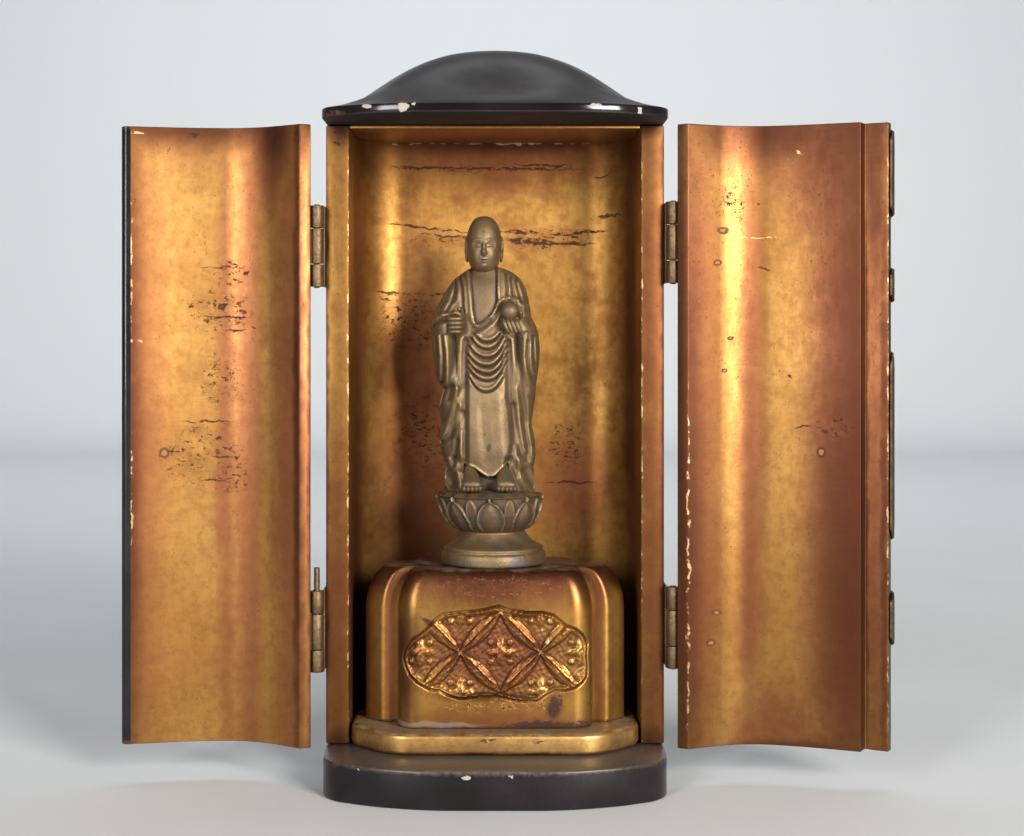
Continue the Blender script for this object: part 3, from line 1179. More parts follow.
pedestal.data.materials.append(
    carved_gold(
        "pedestal gilding",
        cracks=(
            ((18.6, -14, 26.2), (2.6, 4, 5.6), 12),
            ((12, -14.2, 19.9), (12, 3, 2.0), -3),
            ((27, -12, 20), (9, 7, 1.6), -3),
            ((-21.6, -14, 52.6), (2.2, 4, 0.8), 28),
            ((0, -14.2, 19.2), (34, 3, 0.5), 0),
            ((-37, -5, 19.2), (9, 12, 0.5), 0),
        ),
        stains=(
            ((0, -14, 26), (26, 4, 3), 0), ((0, -14, 63), (26, 5, 4), 0), ((0, -14, 42), (30, 5, 14), 0),
        ),
        dim=(
            ((0, -10, 64), (60, 12, 14), 0), ((-32.5, -4, 45), (3, 8, 60), 0),
            ((32.5, -4, 45), (3, 8, 60), 0), ((0, -14, 42), (36, 8, 19), 0), ((0, -14, 20), (40, 8, 8), 0),
            ((0, 6, 66), (60, 60, 7), 0), ((-40, 4, 50), (6, 14, 60), 0), ((0, -14, 60), (22, 4, 4), 0),
        ),
        burnt=(
            ((0, 6, 67.6), (90, 90, 16), 0), ((18.4, -14, 25.4), (3.6, 4, 6), 10),
            ((18, -12, 19.6), (22, 12, 2.6), 0), ((-27, -13, 40), (6, 6, 34), 0),
            ((0, -14, 29), (26, 4, 2.2), 0), ((-20.6, -14, 52), (2.6, 4, 1.6), 28),
            ((-38, 2, 64), (10, 14, 7), 0), ((38, 2, 64), (10, 14, 7), 0),
        ),
        bright=(((15.8, -15, 47), (1.0, 4, 4.4), -20), ((16.6, -15, 42.4), (2.2, 4, 0.8), -20),
                ((-14, -15, 44.4), (3.2, 4, 0.6), 12)),
        dust=(((0, 6, 69.2), (70, 70, 2.6), 0), ((-20, -21, 20), (24, 30, 1.2), 0)),
        deep=0.6,
        shade=0.84,
        green=1.3,
        blue=1.3,
        sheen=(0.29, 0.36),
    )
)
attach(pedestal, "case")
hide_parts("pedestal_body")


# The figure. A monk on a lotus, cast in bronze in one with it and finished with a chisel; it leans a
# little to its right. The staff is missing from its fist, and the jewel lies in its other hand.

FIGURE_FOOT, FIGURE_AXIS = 67.9, 6.05


def between(height, stations, soften=0.9):
    """The value at each height, on a line through (value, height) stations with its corners eased."""
    places = np.array(stations, dtype=float)
    places = places[np.argsort(places[:, 1])]
    found = 0
    for shift, weight in ((-1.6, 1), (-0.8, 2), (0, 3), (0.8, 2), (1.6, 1)):
        found = found + weight / 9 * np.interp(height + shift * soften, places[:, 1], places[:, 0])
    return found


LEFT_LINE = (
    (-5.4, 95.2), (-8.2, 94.4), (-10.8, 92.5), (-13.3, 90.7), (-15.3, 87.9), (-17.3, 84.3), (-19.6, 79.4),
    (-20.3, 76.4), (-20.2, 73), (-20.1, 70), (-19.7, 65.2), (-19.1, 60.4), (-18.3, 57.9), (-16.6, 56.2),
    (-17.0, 54.2), (-18.0, 50.6), (-17.2, 44.3), (-18.1, 39.5), (-16.9, 34.7), (-15.6, 31.5),
    (-16.0, 28.5), (-16.6, 25.5), (-16.8, 22),
)
RIGHT_LINE = (
    (-1.9, 95.2), (1.2, 94.8), (3.8, 94), (6.0, 92.8), (8.4, 90.6), (9.9, 87.6), (10.9, 83.7),
    (11.6, 78.6), (13.2, 75.6), (13.9, 73.4), (14.3, 69.2), (14.3, 65), (13.6, 60), (13.1, 56.4),
    (12.9, 53), (12.3, 48.3), (11.7, 45.1), (12.8, 39.5), (13.1, 35), (12.4, 30.5), (12.7, 27), (13.0, 22),
)
DEPTH_LINE = (
    (8.6, 22), (9.0, 30), (9.6, 36), (9.5, 42), (9.2, 50), (8.9, 62), (8.6, 74), (8.4, 80), (7.9, 85),
    (7.1, 89), (5.8, 92), (4.8, 95.2),
)
SLEEVE_LINE = (
    (3.6, 22), (4.4, 34), (4.6, 48), (5.6, 56), (6.3, 60), (6.4, 72), (6.2, 78), (4.6, 84),
    (3.2, 89), (2, 95),
)
FORWARD_LINE = ((0.4, 22), (0.8, 48), (2.4, 58), (3.2, 64), (3.4, 76), (2.2, 81), (0.6, 86), (0, 95))
HEM_LINE = ((-9.4, 32.1), (-6.5, 31.0), (-4.4, 29.4), (-2.3, 28.1), (0.0, 28.5), (2.0, 30.6), (3.8, 32.3))
# Each fold of the robe: its half width, its height or depth, and the line that it follows.
STROKES = (
    (0.8, 0.8, ((-9.0, 93.5), (-8.4, 89.3), (-8.0, 85.3), (-7.7, 81.3), (-7.2, 78.0), (-6.2, 75.6))),
    (0.5, 0.45, ((-10.4, 91.7), (-9.7, 87.7), (-9.4, 83.7), (-9.2, 80.1))),
    (0.55, 0.55, ((-11.8, 91.3), (-11.6, 86.9), (-12.0, 83.7), (-12.9, 82.5))),
    (0.6, 0.55, ((-13.3, 90.1), (-14.3, 86.1), (-15.6, 82.9), (-16.9, 79.7))),
    (0.6, 0.55, ((-15.1, 87.7), (-16.9, 82.9), (-18.6, 78.9))),
    (0.45, -0.6, ((-11.2, 91.5), (-10.6, 87.7), (-10.4, 83.7), (-10.4, 81.3))),
    (0.5, -0.6, ((-12.5, 90.7), (-12.9, 86.9), (-13.9, 83.3), (-15.7, 80.5))),
    (0.6, 0.8, ((-20.0, 77.0), (-18.1, 78.5), (-15.5, 79.6), (-13.9, 79.3))),
    (0.8, -1.1, ((-19.7, 75.8), (-17.7, 77.2), (-15.7, 78.0))),
    (0.8, 0.8, ((1.3, 93.9), (1.2, 88.5), (1.3, 83.5), (0.6, 81.1), (-1.0, 78.7))),
    (0.55, 0.5, ((2.7, 92.5), (3.0, 88.5), (2.8, 84.5))),
    (0.55, 0.55, ((4.3, 91.9), (4.7, 87.7), (4.7, 84.7))),
    (0.55, 0.55, ((5.8, 90.9), (6.7, 86.9), (7.3, 84.1))),
    (0.6, 0.55, ((7.4, 89.7), (8.8, 85.7), (9.6, 82.1))),
    (0.45, -0.6, ((3.5, 92.3), (3.8, 88.1), (3.7, 84.7))),
    (0.45, -0.6, ((5.1, 91.3), (5.8, 87.3), (6.1, 84.5))),
    (0.45, -0.6, ((6.7, 90.5), (7.8, 86.1), (8.5, 83.3))),
    (0.6, 0.7, ((1.6, 83.5), (3.6, 84.7), (6.6, 84.4), (9.0, 82.5), (9.6, 79.3))),
    (0.7, 0.8, ((10.8, 82.7), (11.3, 79.3), (12.0, 77.2), (13.9, 75.0))),
    (0.9, -0.9, ((1.2, 81.3), (-0.8, 78.2), (-3.6, 75.8), (-6.2, 74.2))),
    (0.8, 0.6, ((1.6, 79.3), (-0.6, 76.2), (-3.6, 73.8), (-6.6, 72.8))),
    (0.8, -0.9, ((-6.4, 75.2), (-7.4, 72.8), (-8.0, 70.8))),
    (0.8, 0.8, ((-16.1, 72.4), (-15.2, 66.8), (-15.1, 61.2), (-15.7, 57.2))),
    (0.7, 0.7, ((-18.0, 72.4), (-17.6, 66.8), (-18.0, 61.2), (-18.0, 58.6))),
    (0.6, 0.5, ((-19.8, 72.4), (-19.3, 67.2), (-18.8, 61.6))),
    (0.6, -0.8, ((-16.9, 72.4), (-16.4, 66.0), (-16.5, 58.0))),
    (0.5, -0.6, ((-18.9, 72.4), (-18.5, 66.8), (-18.4, 60.0))),
    (0.8, 0.8, ((-10.8, 71.6), (-11.4, 66.8), (-11.8, 61.2), (-12.0, 52.7), (-11.0, 50.7),
                (-12.4, 42.3))),
    (0.9, -1.2, ((-13.3, 71.6), (-13.4, 63.2), (-13.9, 56.4), (-14.9, 52.7))),
    (0.9, -1.5, ((-9.2, 71.2), (-9.4, 65.2), (-9.5, 53.1), (-9.6, 43.5), (-9.4, 32.5))),
    (0.8, 0.9, ((5.6, 71.6), (6.1, 66.8), (6.7, 61.2), (7.2, 52.7), (7.9, 45.5), (8.7, 40.3),
                (9.9, 36.1))),
    (0.8, -1.1, ((7.6, 71.6), (7.9, 65.2), (8.4, 54.0), (9.3, 47.9), (9.7, 42.3), (10.4, 36.3),
                 (10.1, 33.1))),
    (0.8, 0.8, ((9.9, 73.2), (9.4, 69.2), (9.2, 66.0), (9.9, 61.6), (11.2, 56.8), (11.0, 50.0),
                (10.8, 43.5), (12.1, 37.5), (12.1, 32.7))),
    (0.6, -0.8, ((10.5, 70.8), (10.2, 66.0), (10.8, 61.6), (12.2, 57.2))),
    (0.6, 0.5, ((11.3, 73.2), (11.2, 66.0), (12.1, 60.4))),
    (0.6, 0.5, ((13.0, 71.6), (13.3, 66.8), (13.0, 60.8))),
    (0.5, -0.6, ((12.2, 72.8), (12.4, 66.0), (12.9, 61.2))),
    (0.9, -1.4, ((4.2, 70.8), (4.3, 65.2), (4.5, 53.1), (5.2, 49.5), (5.7, 43.5), (5.9, 38.7), (5.2, 34.7),
                 (3.8, 31.9))),
    (0.9, 0.9, ((-12.4, 55.6), (-13.0, 50.7), (-14.9, 45.5), (-16.9, 40.1))),
    (1.0, -1.3, ((-10.8, 48.3), (-12.2, 43.9), (-14.6, 40.6), (-16.9, 39.0))),
    (0.7, -1.1, ((-15.9, 55.8), (-16.9, 52.7), (-17.8, 50.3))),
    (0.8, -1.0, ((-12.0, 39.5), (-12.6, 34.7), (-13.9, 30.3))),
    (0.7, 0.6, ((-10.4, 42.3), (-10.8, 37.5), (-10.6, 33.1))),
    (0.9, -1.2, ((5.9, 50.7), (6.5, 44.3), (7.3, 38.7), (8.4, 34.3))),
    (0.6, -0.7, ((11.1, 53.2), (12.0, 47.9), (11.6, 43.5), (12.6, 37.9))),
    (1.8, 0.5, ((1.4, 52.3), (2.1, 43.5), (2.7, 37.5), (3.2, 33.7))),
    (1.8, 0.4, ((-6.5, 50.7), (-6.5, 41.5), (-6.0, 33.1))),
    (1.5, -0.35, ((-4.2, 49.5), (-3.6, 41.5), (-2.4, 33.1))),
    (1.1, -1.4, ((-12.4, 33.6), (-10.8, 32.6), (-10.6, 30.8))),
    (1.5, -1.7, ((-16.6, 29.4), (-14.8, 28.2), (-13.4, 25.8))),
    (0.8, 1.0, ((-15.0, 33.2), (-13.9, 31.0), (-11.9, 29.2), (-11.2, 24.4))),
    (0.7, 0.8, ((-16.8, 25.8), (-14.6, 23.6), (-12.4, 22.8))),
    (1.3, -1.5, ((4.4, 33.2), (6.0, 31.4), (7.0, 29.4))),
    (1.2, -1.5, ((9.6, 29.6), (10.8, 27.4), (11.8, 25.0))),
    (0.8, 1.0, ((7.8, 33.8), (7.6, 29.6), (8.8, 26.6), (10.6, 23.8))),
    (0.6, 0.8, ((5.6, 28.4), (6.6, 25.8), (8.0, 23.4))),
    (0.5, 0.4, HEM_LINE),
)
# Each sagging fold over the belly: how low it hangs, and where its two ends are.
BELLY_LOOPS = (
    (70.6, (-6.6, 73.2), (1.6, 73.2)), (68.3, (-7.4, 71.8), (2.4, 72.4)),
    (65.5, (-8.2, 69.4), (3.2, 70.8)), (62.9, (-8.6, 66.8), (3.6, 69.2)),
    (60.5, (-8.6, 64.6), (3.8, 67.2)), (58.3, (-8.4, 62.4), (3.6, 64.4)),
    (54.8, (-8.0, 59.2), (2.4, 59.2)),
)
# Each straight fold down the back: where it is at the shoulders, and where at the hem.
BACK_FOLDS = (
    (-12.5, -13.8), (-9.0, -10.6), (-6.2, -6.9), (-3.3, -3.0),
    (-0.6, 0.4), (2.4, 4.1), (5.4, 7.9), (8.4, 10.6),
)
CHEST_LINE = [
    (-8.4, 93.6), (-7.9, 89.3), (-7.5, 85.3), (-7.2, 81.3), (-6.7, 78.0), (-5.9, 75.8), (-3.6, 76.6),
    (-0.9, 79.2), (0.3, 81.5), (0.9, 84.0), (0.8, 94.4),
]

ROWS, AROUND = 268, 344
row_heights = np.linspace(22.4, 95.0, ROWS)
turn = np.linspace(0, 2 * np.pi, AROUND, endpoint=False)
turn = turn - 0.3 * np.cos(turn)
rise = row_heights[:, None] + np.zeros(AROUND)[None, :]
left, right = between(rise, LEFT_LINE, 0.45), between(rise, RIGHT_LINE, 0.45)
middle, half = (left + right) / 2, (right - left) / 2
across = middle + half * np.cos(turn)[None, :]
front = np.sin(turn)[None, :] < 0
body_half = np.minimum(half, 13.4)
aside = np.clip(np.abs(across - middle) / body_half, 0, 1)
trunk = between(rise, DEPTH_LINE) * np.sqrt(1 - aside**2.2)
sleeve_deep = between(rise, SLEEVE_LINE)
lump_half = np.minimum(4.3, half * 0.45)
lumps = np.zeros_like(trunk)
for spot in (left + lump_half, right - lump_half):
    lumps = np.maximum(lumps, sleeve_deep * np.sqrt(np.clip(1 - ((across - spot) / lump_half) ** 2, 0, 1)))
forward = between(rise, FORWARD_LINE) * smooth_step((np.abs(across - middle) / half - 0.45) / 0.25)
blend = 0.35
thick_front = blend * np.logaddexp(trunk / blend, (lumps + forward) / blend) - blend * math.log(2)
thick_back = blend * np.logaddexp(trunk / blend, (lumps - forward) / blend) - blend * math.log(2)
rim = np.sqrt(np.clip(1 - (np.abs(across - middle) / half) ** 6, 0, 1))
mid_y = -forward * (1 - rim)
depth = np.where(front, np.maximum(thick_front, 0) * rim, np.maximum(thick_back, 0) * rim)

relief = np.zeros_like(depth)
for width, height, places in STROKES:
    near = near_line(across, rise, places)
    relief += height * 0.72 * smooth_step(1 - near / (width * 1.8))
for low, start, end in BELLY_LOOPS:
    middle_x = (start[0] + end[0]) / 2
    loop = []
    for step in range(15):
        share = step / 14 * 2 - 1
        top = start[1] if share < 0 else end[1]
        loop.append((middle_x + share * (end[0] - start[0]) / 2, low + (top - low) * abs(share) ** 2.3))
    relief -= 0.6 * smooth_step(1 - near_line(across, rise, loop) / 0.6)
    lifted = [(place_x, height + 1.05) for place_x, height in loop]
    relief += 0.55 * smooth_step(1 - near_line(across, rise, lifted))
chest = inside_of(across, rise, CHEST_LINE + [(-3.7, 95.5)])
relief = np.where(chest, -smooth_step(near_line(across, rise, CHEST_LINE) / 0.7), relief)
hem = np.interp(across, *np.transpose(HEM_LINE))
inner = (across > -9.9) & (across < 4.3)
relief = np.where(front & inner, relief - 2.4 * smooth_step((hem - rise) / 0.5), relief)
back = np.zeros_like(depth)
for high_x, low_x in BACK_FOLDS:
    back += 0.6 * smooth_step(1 - near_line(across, rise, ((high_x, 90), (low_x, 24))) / 1.5)
edge_share = smooth_step((1 - np.abs(across - middle) / half) / 0.05)
relief = np.where(front, relief, back) * edge_share
depth = depth + relief
turned_y = mid_y + np.where(front, -1, 1) * np.maximum(depth, 0)
skin = np.stack([across, turned_y, rise], axis=-1)
robe = loft("figure_robe", list(skin + np.array((0, FIGURE_AXIS, FIGURE_FOOT))))
soft = smoothed(depth, 10)
under_hem = front & inner & (rise < hem)
note(robe, "hollow", np.clip((soft - depth) * 3.6 - 0.05 + 0.24 * (chest & front) + 0.5 * under_hem, 0, 1))
note(robe, "crest", np.clip((depth - soft) * 3.0 - 0.05, 0, 1) * smooth_step((rise - 23) / 3))


def bronze(name, spots=(), filmed=0.4):
    """Brown bronze: olive and rubbed on the crests, purple-brown in the folds, with a few dark pits."""
    olive, brown, fine_brown = (0.105, 0.064, 0.027, 1), (0.17, 0.11, 0.046, 1), (0.13, 0.09, 0.06, 1)
    film_grey, fold_purple = (0.08, 0.078, 0.071, 1), (0.035, 0.019, 0.02, 1)
    bare_bronze, pit_black = (0.36, 0.25, 0.12, 1), (0.03, 0.022, 0.02, 1)
    finish, tree, shader, where = new_finish(name)
    colour = tint(tree, clouds(tree, where, 130, 0.3, 0.7, 6), olive, brown)
    colour = lay(tree, clouds(tree, where, 1500, 0.35, 0.7, 4), 0.25, colour, fine_brown)
    colour = lay(tree, clouds(tree, where, 170, 0.48, 0.66, 5), filmed, colour, film_grey)
    hollow = grow(tree, "Attribute", attribute_name="hollow").outputs["Fac"]
    crest = grow(tree, "Attribute", attribute_name="crest").outputs["Fac"]
    colour = lay(tree, hollow, 0.92, colour, fold_purple)
    rubbed = combine(tree, "MULTIPLY", crest, clouds(tree, where, 500, 0.25, 0.6, 4))
    colour = lay(tree, rubbed, 0.5, colour, bare_bronze)
    if spots:
        spot = level(tree, marks(tree, waver(tree, where, 900, 0.0008), spots), 0.1, 0.6)
        colour = lay(tree, spot, 0.85, colour, pit_black)
    tree.links.new(colour, shader.inputs["Base Color"])
    shader.inputs["Metallic"].default_value = 0.62
    rough = spread(tree, hollow, 0.5, 0.7)
    rough = combine(tree, "SUBTRACT", rough, combine(tree, "MULTIPLY", crest, 0.12))
    tree.links.new(rough, shader.inputs["Roughness"])
    set_height(tree, shader, clouds(tree, where, 1300, 0.2, 0.8, 4), 0.00005)
    return finish


robe.data.materials.append(
    bronze(
        "robe bronze",
        spots=(((-1.9, -2.5, 105.2), (1.1, 3, 2.0), 10), ((-3.4, -2.5, 109.3), (0.5, 3, 0.5), 0)),
        filmed=0.22,
    )
)
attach(robe, "case")
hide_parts("bronze_figure")


# The lotus under the figure: a flared foot, a bowl of broad petals with rolled rims, and the seed head
# that rises inside it between a ring of upright petals.

LOTUS_ROWS = (
    (16.3, 0), (16.8, 0.4), (16.85, 2.2), (16.6, 3.6), (16.0, 4.1), (15.8, 4.5), (16.1, 4.9), (15.9, 5.4),
    (14.6, 6.0), (13.2, 6.8), (12.0, 7.8), (11.2, 8.9), (10.7, 9.8), (10.4, 10.3), (10.9, 10.7),
    (12.2, 11.3), (13.8, 12.6), (15.0, 14.2), (15.9, 16.0), (16.5, 18.2), (16.9, 20.3), (17.2, 21.7),
    (17.0, 22.1), (16.4, 22.0), (15.7, 21.7), (15.0, 22.0), (14.0, 22.6), (12.5, 23.2), (9.0, 23.7),
    (5.0, 23.9), (1.0, 24.0),
)
RIM_ROW, HEAD_ROW, PETALS = 22, 24, 8
rows = np.array(LOTUS_ROWS)
steps = np.concatenate([[0], np.cumsum(np.hypot(*np.diff(rows, axis=0).T))])
fine = np.linspace(0, steps[-1], 190)
reach = np.interp(fine, steps, rows[:, 0])
lift = np.interp(fine, steps, rows[:, 1])
for _ in range(3):
    reach[1:-1] = (reach[:-2] + 2 * reach[1:-1] + reach[2:]) / 4
    lift[1:-1] = (lift[:-2] + 2 * lift[1:-1] + lift[2:]) / 4
around = np.linspace(0, 2 * np.pi, 400, endpoint=False)
far, up = reach[:, None] + 0 * around[None, :], lift[:, None] + 0 * around[None, :]
sector = (around + np.pi / 2) * PETALS / (2 * np.pi)
aside = np.abs(sector - np.round(sector))[None, :] * 2 * np.pi / PETALS * far
petal_up = np.clip((up - 10.6) / 10.0, 0, 1)
bowl_foot = np.interp(10.5, rows[:RIM_ROW, 1], steps[:RIM_ROW])
bowl = ((fine > bowl_foot) & (fine < steps[RIM_ROW]))[:, None]
petal_half = 5.1 * np.sqrt(np.clip(1 - np.clip((petal_up - 0.35) / 0.66, 0, 1) ** 2, 0, 1))
petal_half = petal_half * np.clip(0.72 + petal_up * 0.9, 0, 1)
inner_edge = petal_half - aside
big = smooth_step(inner_edge / 0.7) * (0.75 + 0.3 * np.clip(1 - np.abs(inner_edge - 0.7) / 0.7, 0, 1))
big -= 0.3 * smooth_step((inner_edge - 0.9) / 1.0) - 0.45 * smooth_step((inner_edge - 1.6) / 3)
tip_aside = np.pi / PETALS * far - aside
tip_half = 2.3 * np.sqrt(np.clip(1 - (np.clip(up - 16.4, 0, 5) / 5) ** 2, 0, 1))
small_edge = tip_half - tip_aside
small = 0.5 * smooth_step(small_edge / 0.6) + 0.15 * np.clip(1 - np.abs(small_edge - 0.6) / 0.6, 0, 1)
petals = np.where(bowl, np.maximum(big, small) * 1.15 - 0.85, 0)
petals = petals * smooth_step((22.1 - up) / 0.6) * smooth_step((up - 10.4) / 1.2)
head = (fine >= steps[HEAD_ROW])[:, None]
petals = np.where(head, 0.5 * np.cos(around * 16)[None, :] * smooth_step((far - 9) / 4), petals)
foot_wave = 0.22 * np.cos(around * 11 + 1.3)[None, :]
foot_wave = foot_wave * smooth_step((up - 5.4) / 2) * smooth_step((10.2 - up) / 3)
swell = far + petals + np.where(bowl | head, 0, foot_wave)
shift = np.interp(up, [4.1, 22.1], [-0.5, -1.8])
skin = np.stack([shift + swell * np.cos(around), swell * np.sin(around), up], axis=-1)
lotus = loft("figure_lotus", list(skin + np.array((0, FIGURE_AXIS, FIGURE_FOOT))))
soft = petals.copy()
for _ in range(12):
    soft[1:-1] = (soft[:-2] + soft[2:] + np.roll(soft, 1, 1)[1:-1] + np.roll(soft, -1, 1)[1:-1]) / 4
note(lotus, "hollow", np.clip((soft - petals) * 2.4, 0, 1) * 0.8 + 0.4 * bowl + 0.05 * head)
note(lotus, "crest", np.clip((petals - soft) * 2.6, 0, 1))
lotus.data.materials.append(bronze("lotus bronze", filmed=0.8))
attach(lotus, "case")


# The head and the hands, cast with the rest. The head is shaven, with long ears and lowered eyes; the
# right hand was closed round the staff that is lost, and the left one holds the jewel up.


def blob(name, middle, half, rings=20, sides=28):
    """A closed egg of these half sizes, in the figure's own millimetres."""
    bpy.ops.object.select_all(action="DESELECT")
    bpy.ops.mesh.primitive_uv_sphere_add(segments=sides, ring_count=rings, radius=1)
    made = bpy.context.object
    made.name = made.data.name = name
    place = Vector(middle) + Vector((0, FIGURE_AXIS, FIGURE_FOOT))
    sizes = Matrix.Diagonal((*(size * MM for size in half), 1))
    made.data.transform(Matrix.Translation(place * MM) @ sizes)
    bpy.ops.object.shade_smooth()
    return made


def finger(places, radius, end_radius=None):
    """A rounded rod through the places, thinned towards its tip."""
    end_radius = end_radius or radius * 0.75
    path = [Vector(place) for place in places]
    samples = []
    for before, after in zip(path, path[1:]):
        samples += [before.lerp(after, step / 6) for step in range(6)]
    samples.append(path[-1])
    for _ in range(2):
        inner = [(a + b * 2 + c) / 4 for a, b, c in zip(samples, samples[1:], samples[2:])]
        samples = [samples[0], *inner, samples[-1]]
    turns = [2 * math.pi * number / 14 for number in range(14)]
    rings = []
    count = len(samples)
    for index, spot in enumerate(samples):
        along = (samples[min(index + 1, count - 1)] - samples[max(index - 1, 0)]).normalized()
        side = along.cross(Vector((0.3, 1, 0.2))).normalized()
        up = along.cross(side)
        share = index / (count - 1)
        size = radius + (end_radius - radius) * share
        size *= math.sqrt(max(0.06, 1 - max(0, (abs(share - 0.5) - 0.38) / 0.12) ** 2))
        rings.append([spot + (side * math.cos(turn) + up * math.sin(turn)) * size for turn in turns])
    made = loft("finger", np.array(rings) + np.array((0, FIGURE_AXIS, FIGURE_FOOT)))
    face_out()
    return made


FACE_ROWS, FACE_SIDES = 150, 190
down = np.linspace(0.0, np.pi, FACE_ROWS)[::-1][:, None]
spin = np.linspace(0, 2 * np.pi, FACE_SIDES, endpoint=False)
spin = (spin - 0.42 * np.cos(spin))[None, :]
share = (np.cos(down) + 1) / 2 + 0 * spin
girth = np.sin(down) + 0 * spin
full = girth ** (0.8 - 0.34 * smooth_step((0.75 - share) / 0.5))
out = full * (1 - 0.06 * smooth_step((0.42 - share) / 0.42))
nx, ny = np.cos(spin) * out, np.sin(spin) * out


def dab(u, v, wide, tall):
    """1 at a place on the face, fading out to the half sizes; u runs across and v up, as shares."""
    return smooth_step(1 - np.hypot((nx - u) / wide, (share - v) / tall))


sculpt = np.zeros_like(nx)
sculpt += 0.95 * dab(0, 0.40, 0.17, 0.17) + 0.75 * dab(0, 0.345, 0.2, 0.075)
sculpt += 0.35 * (dab(0.11, 0.33, 0.1, 0.04) + dab(-0.11, 0.33, 0.1, 0.04))
for sign in (-1, 1):
    sculpt -= 0.75 * dab(sign * 0.37, 0.475, 0.34, 0.085)
    sculpt += 0.62 * dab(sign * 0.38, 0.462, 0.25, 0.058)
    slit = np.abs(share - (0.437 + 0.10 * (nx - sign * 0.38) ** 2))
    sculpt -= 0.34 * smooth_step(1 - slit / 0.012) * smooth_step(1 - np.abs(nx - sign * 0.38) / 0.27)
    brow = np.abs(share - (0.575 - 0.30 * (nx - sign * 0.34) ** 2))
    sculpt += 0.28 * smooth_step(1 - brow / 0.02) * smooth_step(1 - np.abs(nx - sign * 0.36) / 0.36)
    sculpt += 0.35 * dab(sign * 0.52, 0.27, 0.3, 0.16)
sculpt += 0.42 * dab(0, 0.232, 0.3, 0.035) + 0.42 * dab(0, 0.185, 0.24, 0.035)
mouth = np.abs(share - (0.209 + 0.12 * nx**2))
sculpt -= 0.38 * smooth_step(1 - mouth / 0.011) * smooth_step(1 - np.abs(nx) / 0.32)
sculpt += 0.4 * dab(0, 0.1, 0.3, 0.07)
sculpt += 0.32 * dab(0, 0.685, 0.075, 0.028)
sculpt *= smooth_step((-ny - 0.1) / 0.4)
HEAD_FOOT, HEAD_TALL = 92.9, 18.1
skull = np.stack([
    -3.5 + 5.7 * nx, -0.9 - 0.5 * (1 - share) + 6.9 * ny - sculpt, HEAD_FOOT + HEAD_TALL * share,
], axis=-1)
head = loft("figure_head", list(skull[1:-1] + np.array((0, FIGURE_AXIS, FIGURE_FOOT))))
sculpt = sculpt[1:-1]
soft = smoothed(sculpt, 8)
note(head, "hollow", np.clip((soft - sculpt) * 5, 0, 1) * 0.9)
note(head, "crest", np.clip((sculpt - soft) * 5 + 0.25 * (sculpt > 0.3), 0, 1) * 0.8)
pieces = [head]
for sign in (-1, 1):
    ear = blob("ear", (0, 0, 0), (0.8, 1.9, 4.2), 26, 30)
    spot = Vector((-3.5 + sign * 5.5, -0.1 + FIGURE_AXIS, 100.4 + FIGURE_FOOT)) * MM
    centre = Vector((0, FIGURE_AXIS, FIGURE_FOOT)) * MM
    for vertex in ear.data.vertices:
        local = (vertex.co - centre) / MM
        bowl_depth = 0.7 * max(0, 1 - math.hypot(local.y / 1.3, (local.z - 0.8) / 2.8))
        local.x -= sign * bowl_depth if local.x * sign > 0 else 0
        local.y *= 1.0 if local.z > -1 else 0.72
        local.y -= 0.10 * local.z
        vertex.co = spot + Matrix.Rotation(math.radians(sign * 8), 3, "Z") @ local * MM
    pieces.append(ear)
turns = [2 * math.pi * number / 36 for number in range(36)]
neck = []
for step in range(8):
    wide, height = 3.9 + 0.25 * math.cos(step * 2.1), 90 + step + FIGURE_FOOT
    neck.append([
        (-3.7 + wide * math.cos(turn), 0.2 + FIGURE_AXIS + 3.9 * math.sin(turn), height) for turn in turns
    ])
pieces.append(loft("neck", neck))
head = join("figure_head", pieces)
head.data.materials.append(bronze("head bronze"))
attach(head, "case")

FIST = Vector((-12.5, -10.2, 76))
pieces = [blob("fist", FIST + Vector((0, 1.6, -0.1)), (2.3, 2.2, 2.9), 18, 24)]
for number in range(4):
    wide = 2.25 - 0.1 * abs(number - 1.5)
    bend = []
    for step in range(9):
        angle = math.radians(-190 + step * 26)
        height = number * 1.35 - 2.1 + 0.12 * step / 8
        bend.append(FIST + Vector((wide * math.cos(angle), 0.6 + 1.75 * math.sin(angle), height)))
    pieces.append(finger(bend, 0.78, 0.62))
for bend, radius, tip in (
    (((2.0, 0.8, 2.2), (1.6, -0.9, 3.3), (0.2, -1.5, 4.0), (-0.9, -1.0, 3.6)), 0.72, None),
    (((2.3, 2.4, 3.0), (1.7, 0.6, 5.2), (0.9, -0.7, 5.0)), 0.75, None),
    (((0, 1, 0), (-0.4, 4, 0.5), (-0.8, 7.5, 2)), 2.6, 3.2),
):
    pieces.append(finger([FIST + Vector(step) for step in bend], radius, tip))
PALM = Vector((5.0, -10.0, 78.0))
pieces.append(blob("palm", PALM + Vector((0.1, 1.6, -0.4)), (2.9, 2.0, 2.6), 18, 24))
for number in range(4):
    first = PALM + Vector((number * 1.3 - 2.6, -0.2, 0))
    bend = ((0, 0, 0), (0.5, -1.4, -1.2), (1.2, -1.6, -2.9), (1.9, -1.0, 0.35 * abs(number - 1.5) - 4.8))
    pieces.append(finger([first + Vector(step) for step in bend], 0.74, 0.55))
for bend, radius, tip in (
    (((2.4, 1.4, 0), (3.3, -0.2, 1.2), (3.0, -1.2, 2.4)), 0.75, None),
    (((0, 2, -0.2), (0.8, 5, -0.6), (1.6, 8, -0.2)), 2.7, 3.2),
):
    pieces.append(finger([PALM + Vector(step) for step in bend], radius, tip))
JEWEL, JEWEL_HALF = Vector((4.6, -9.6, 80.4)), 3.0
jewel = blob("jewel", JEWEL, (JEWEL_HALF,) * 3, 26, 32)
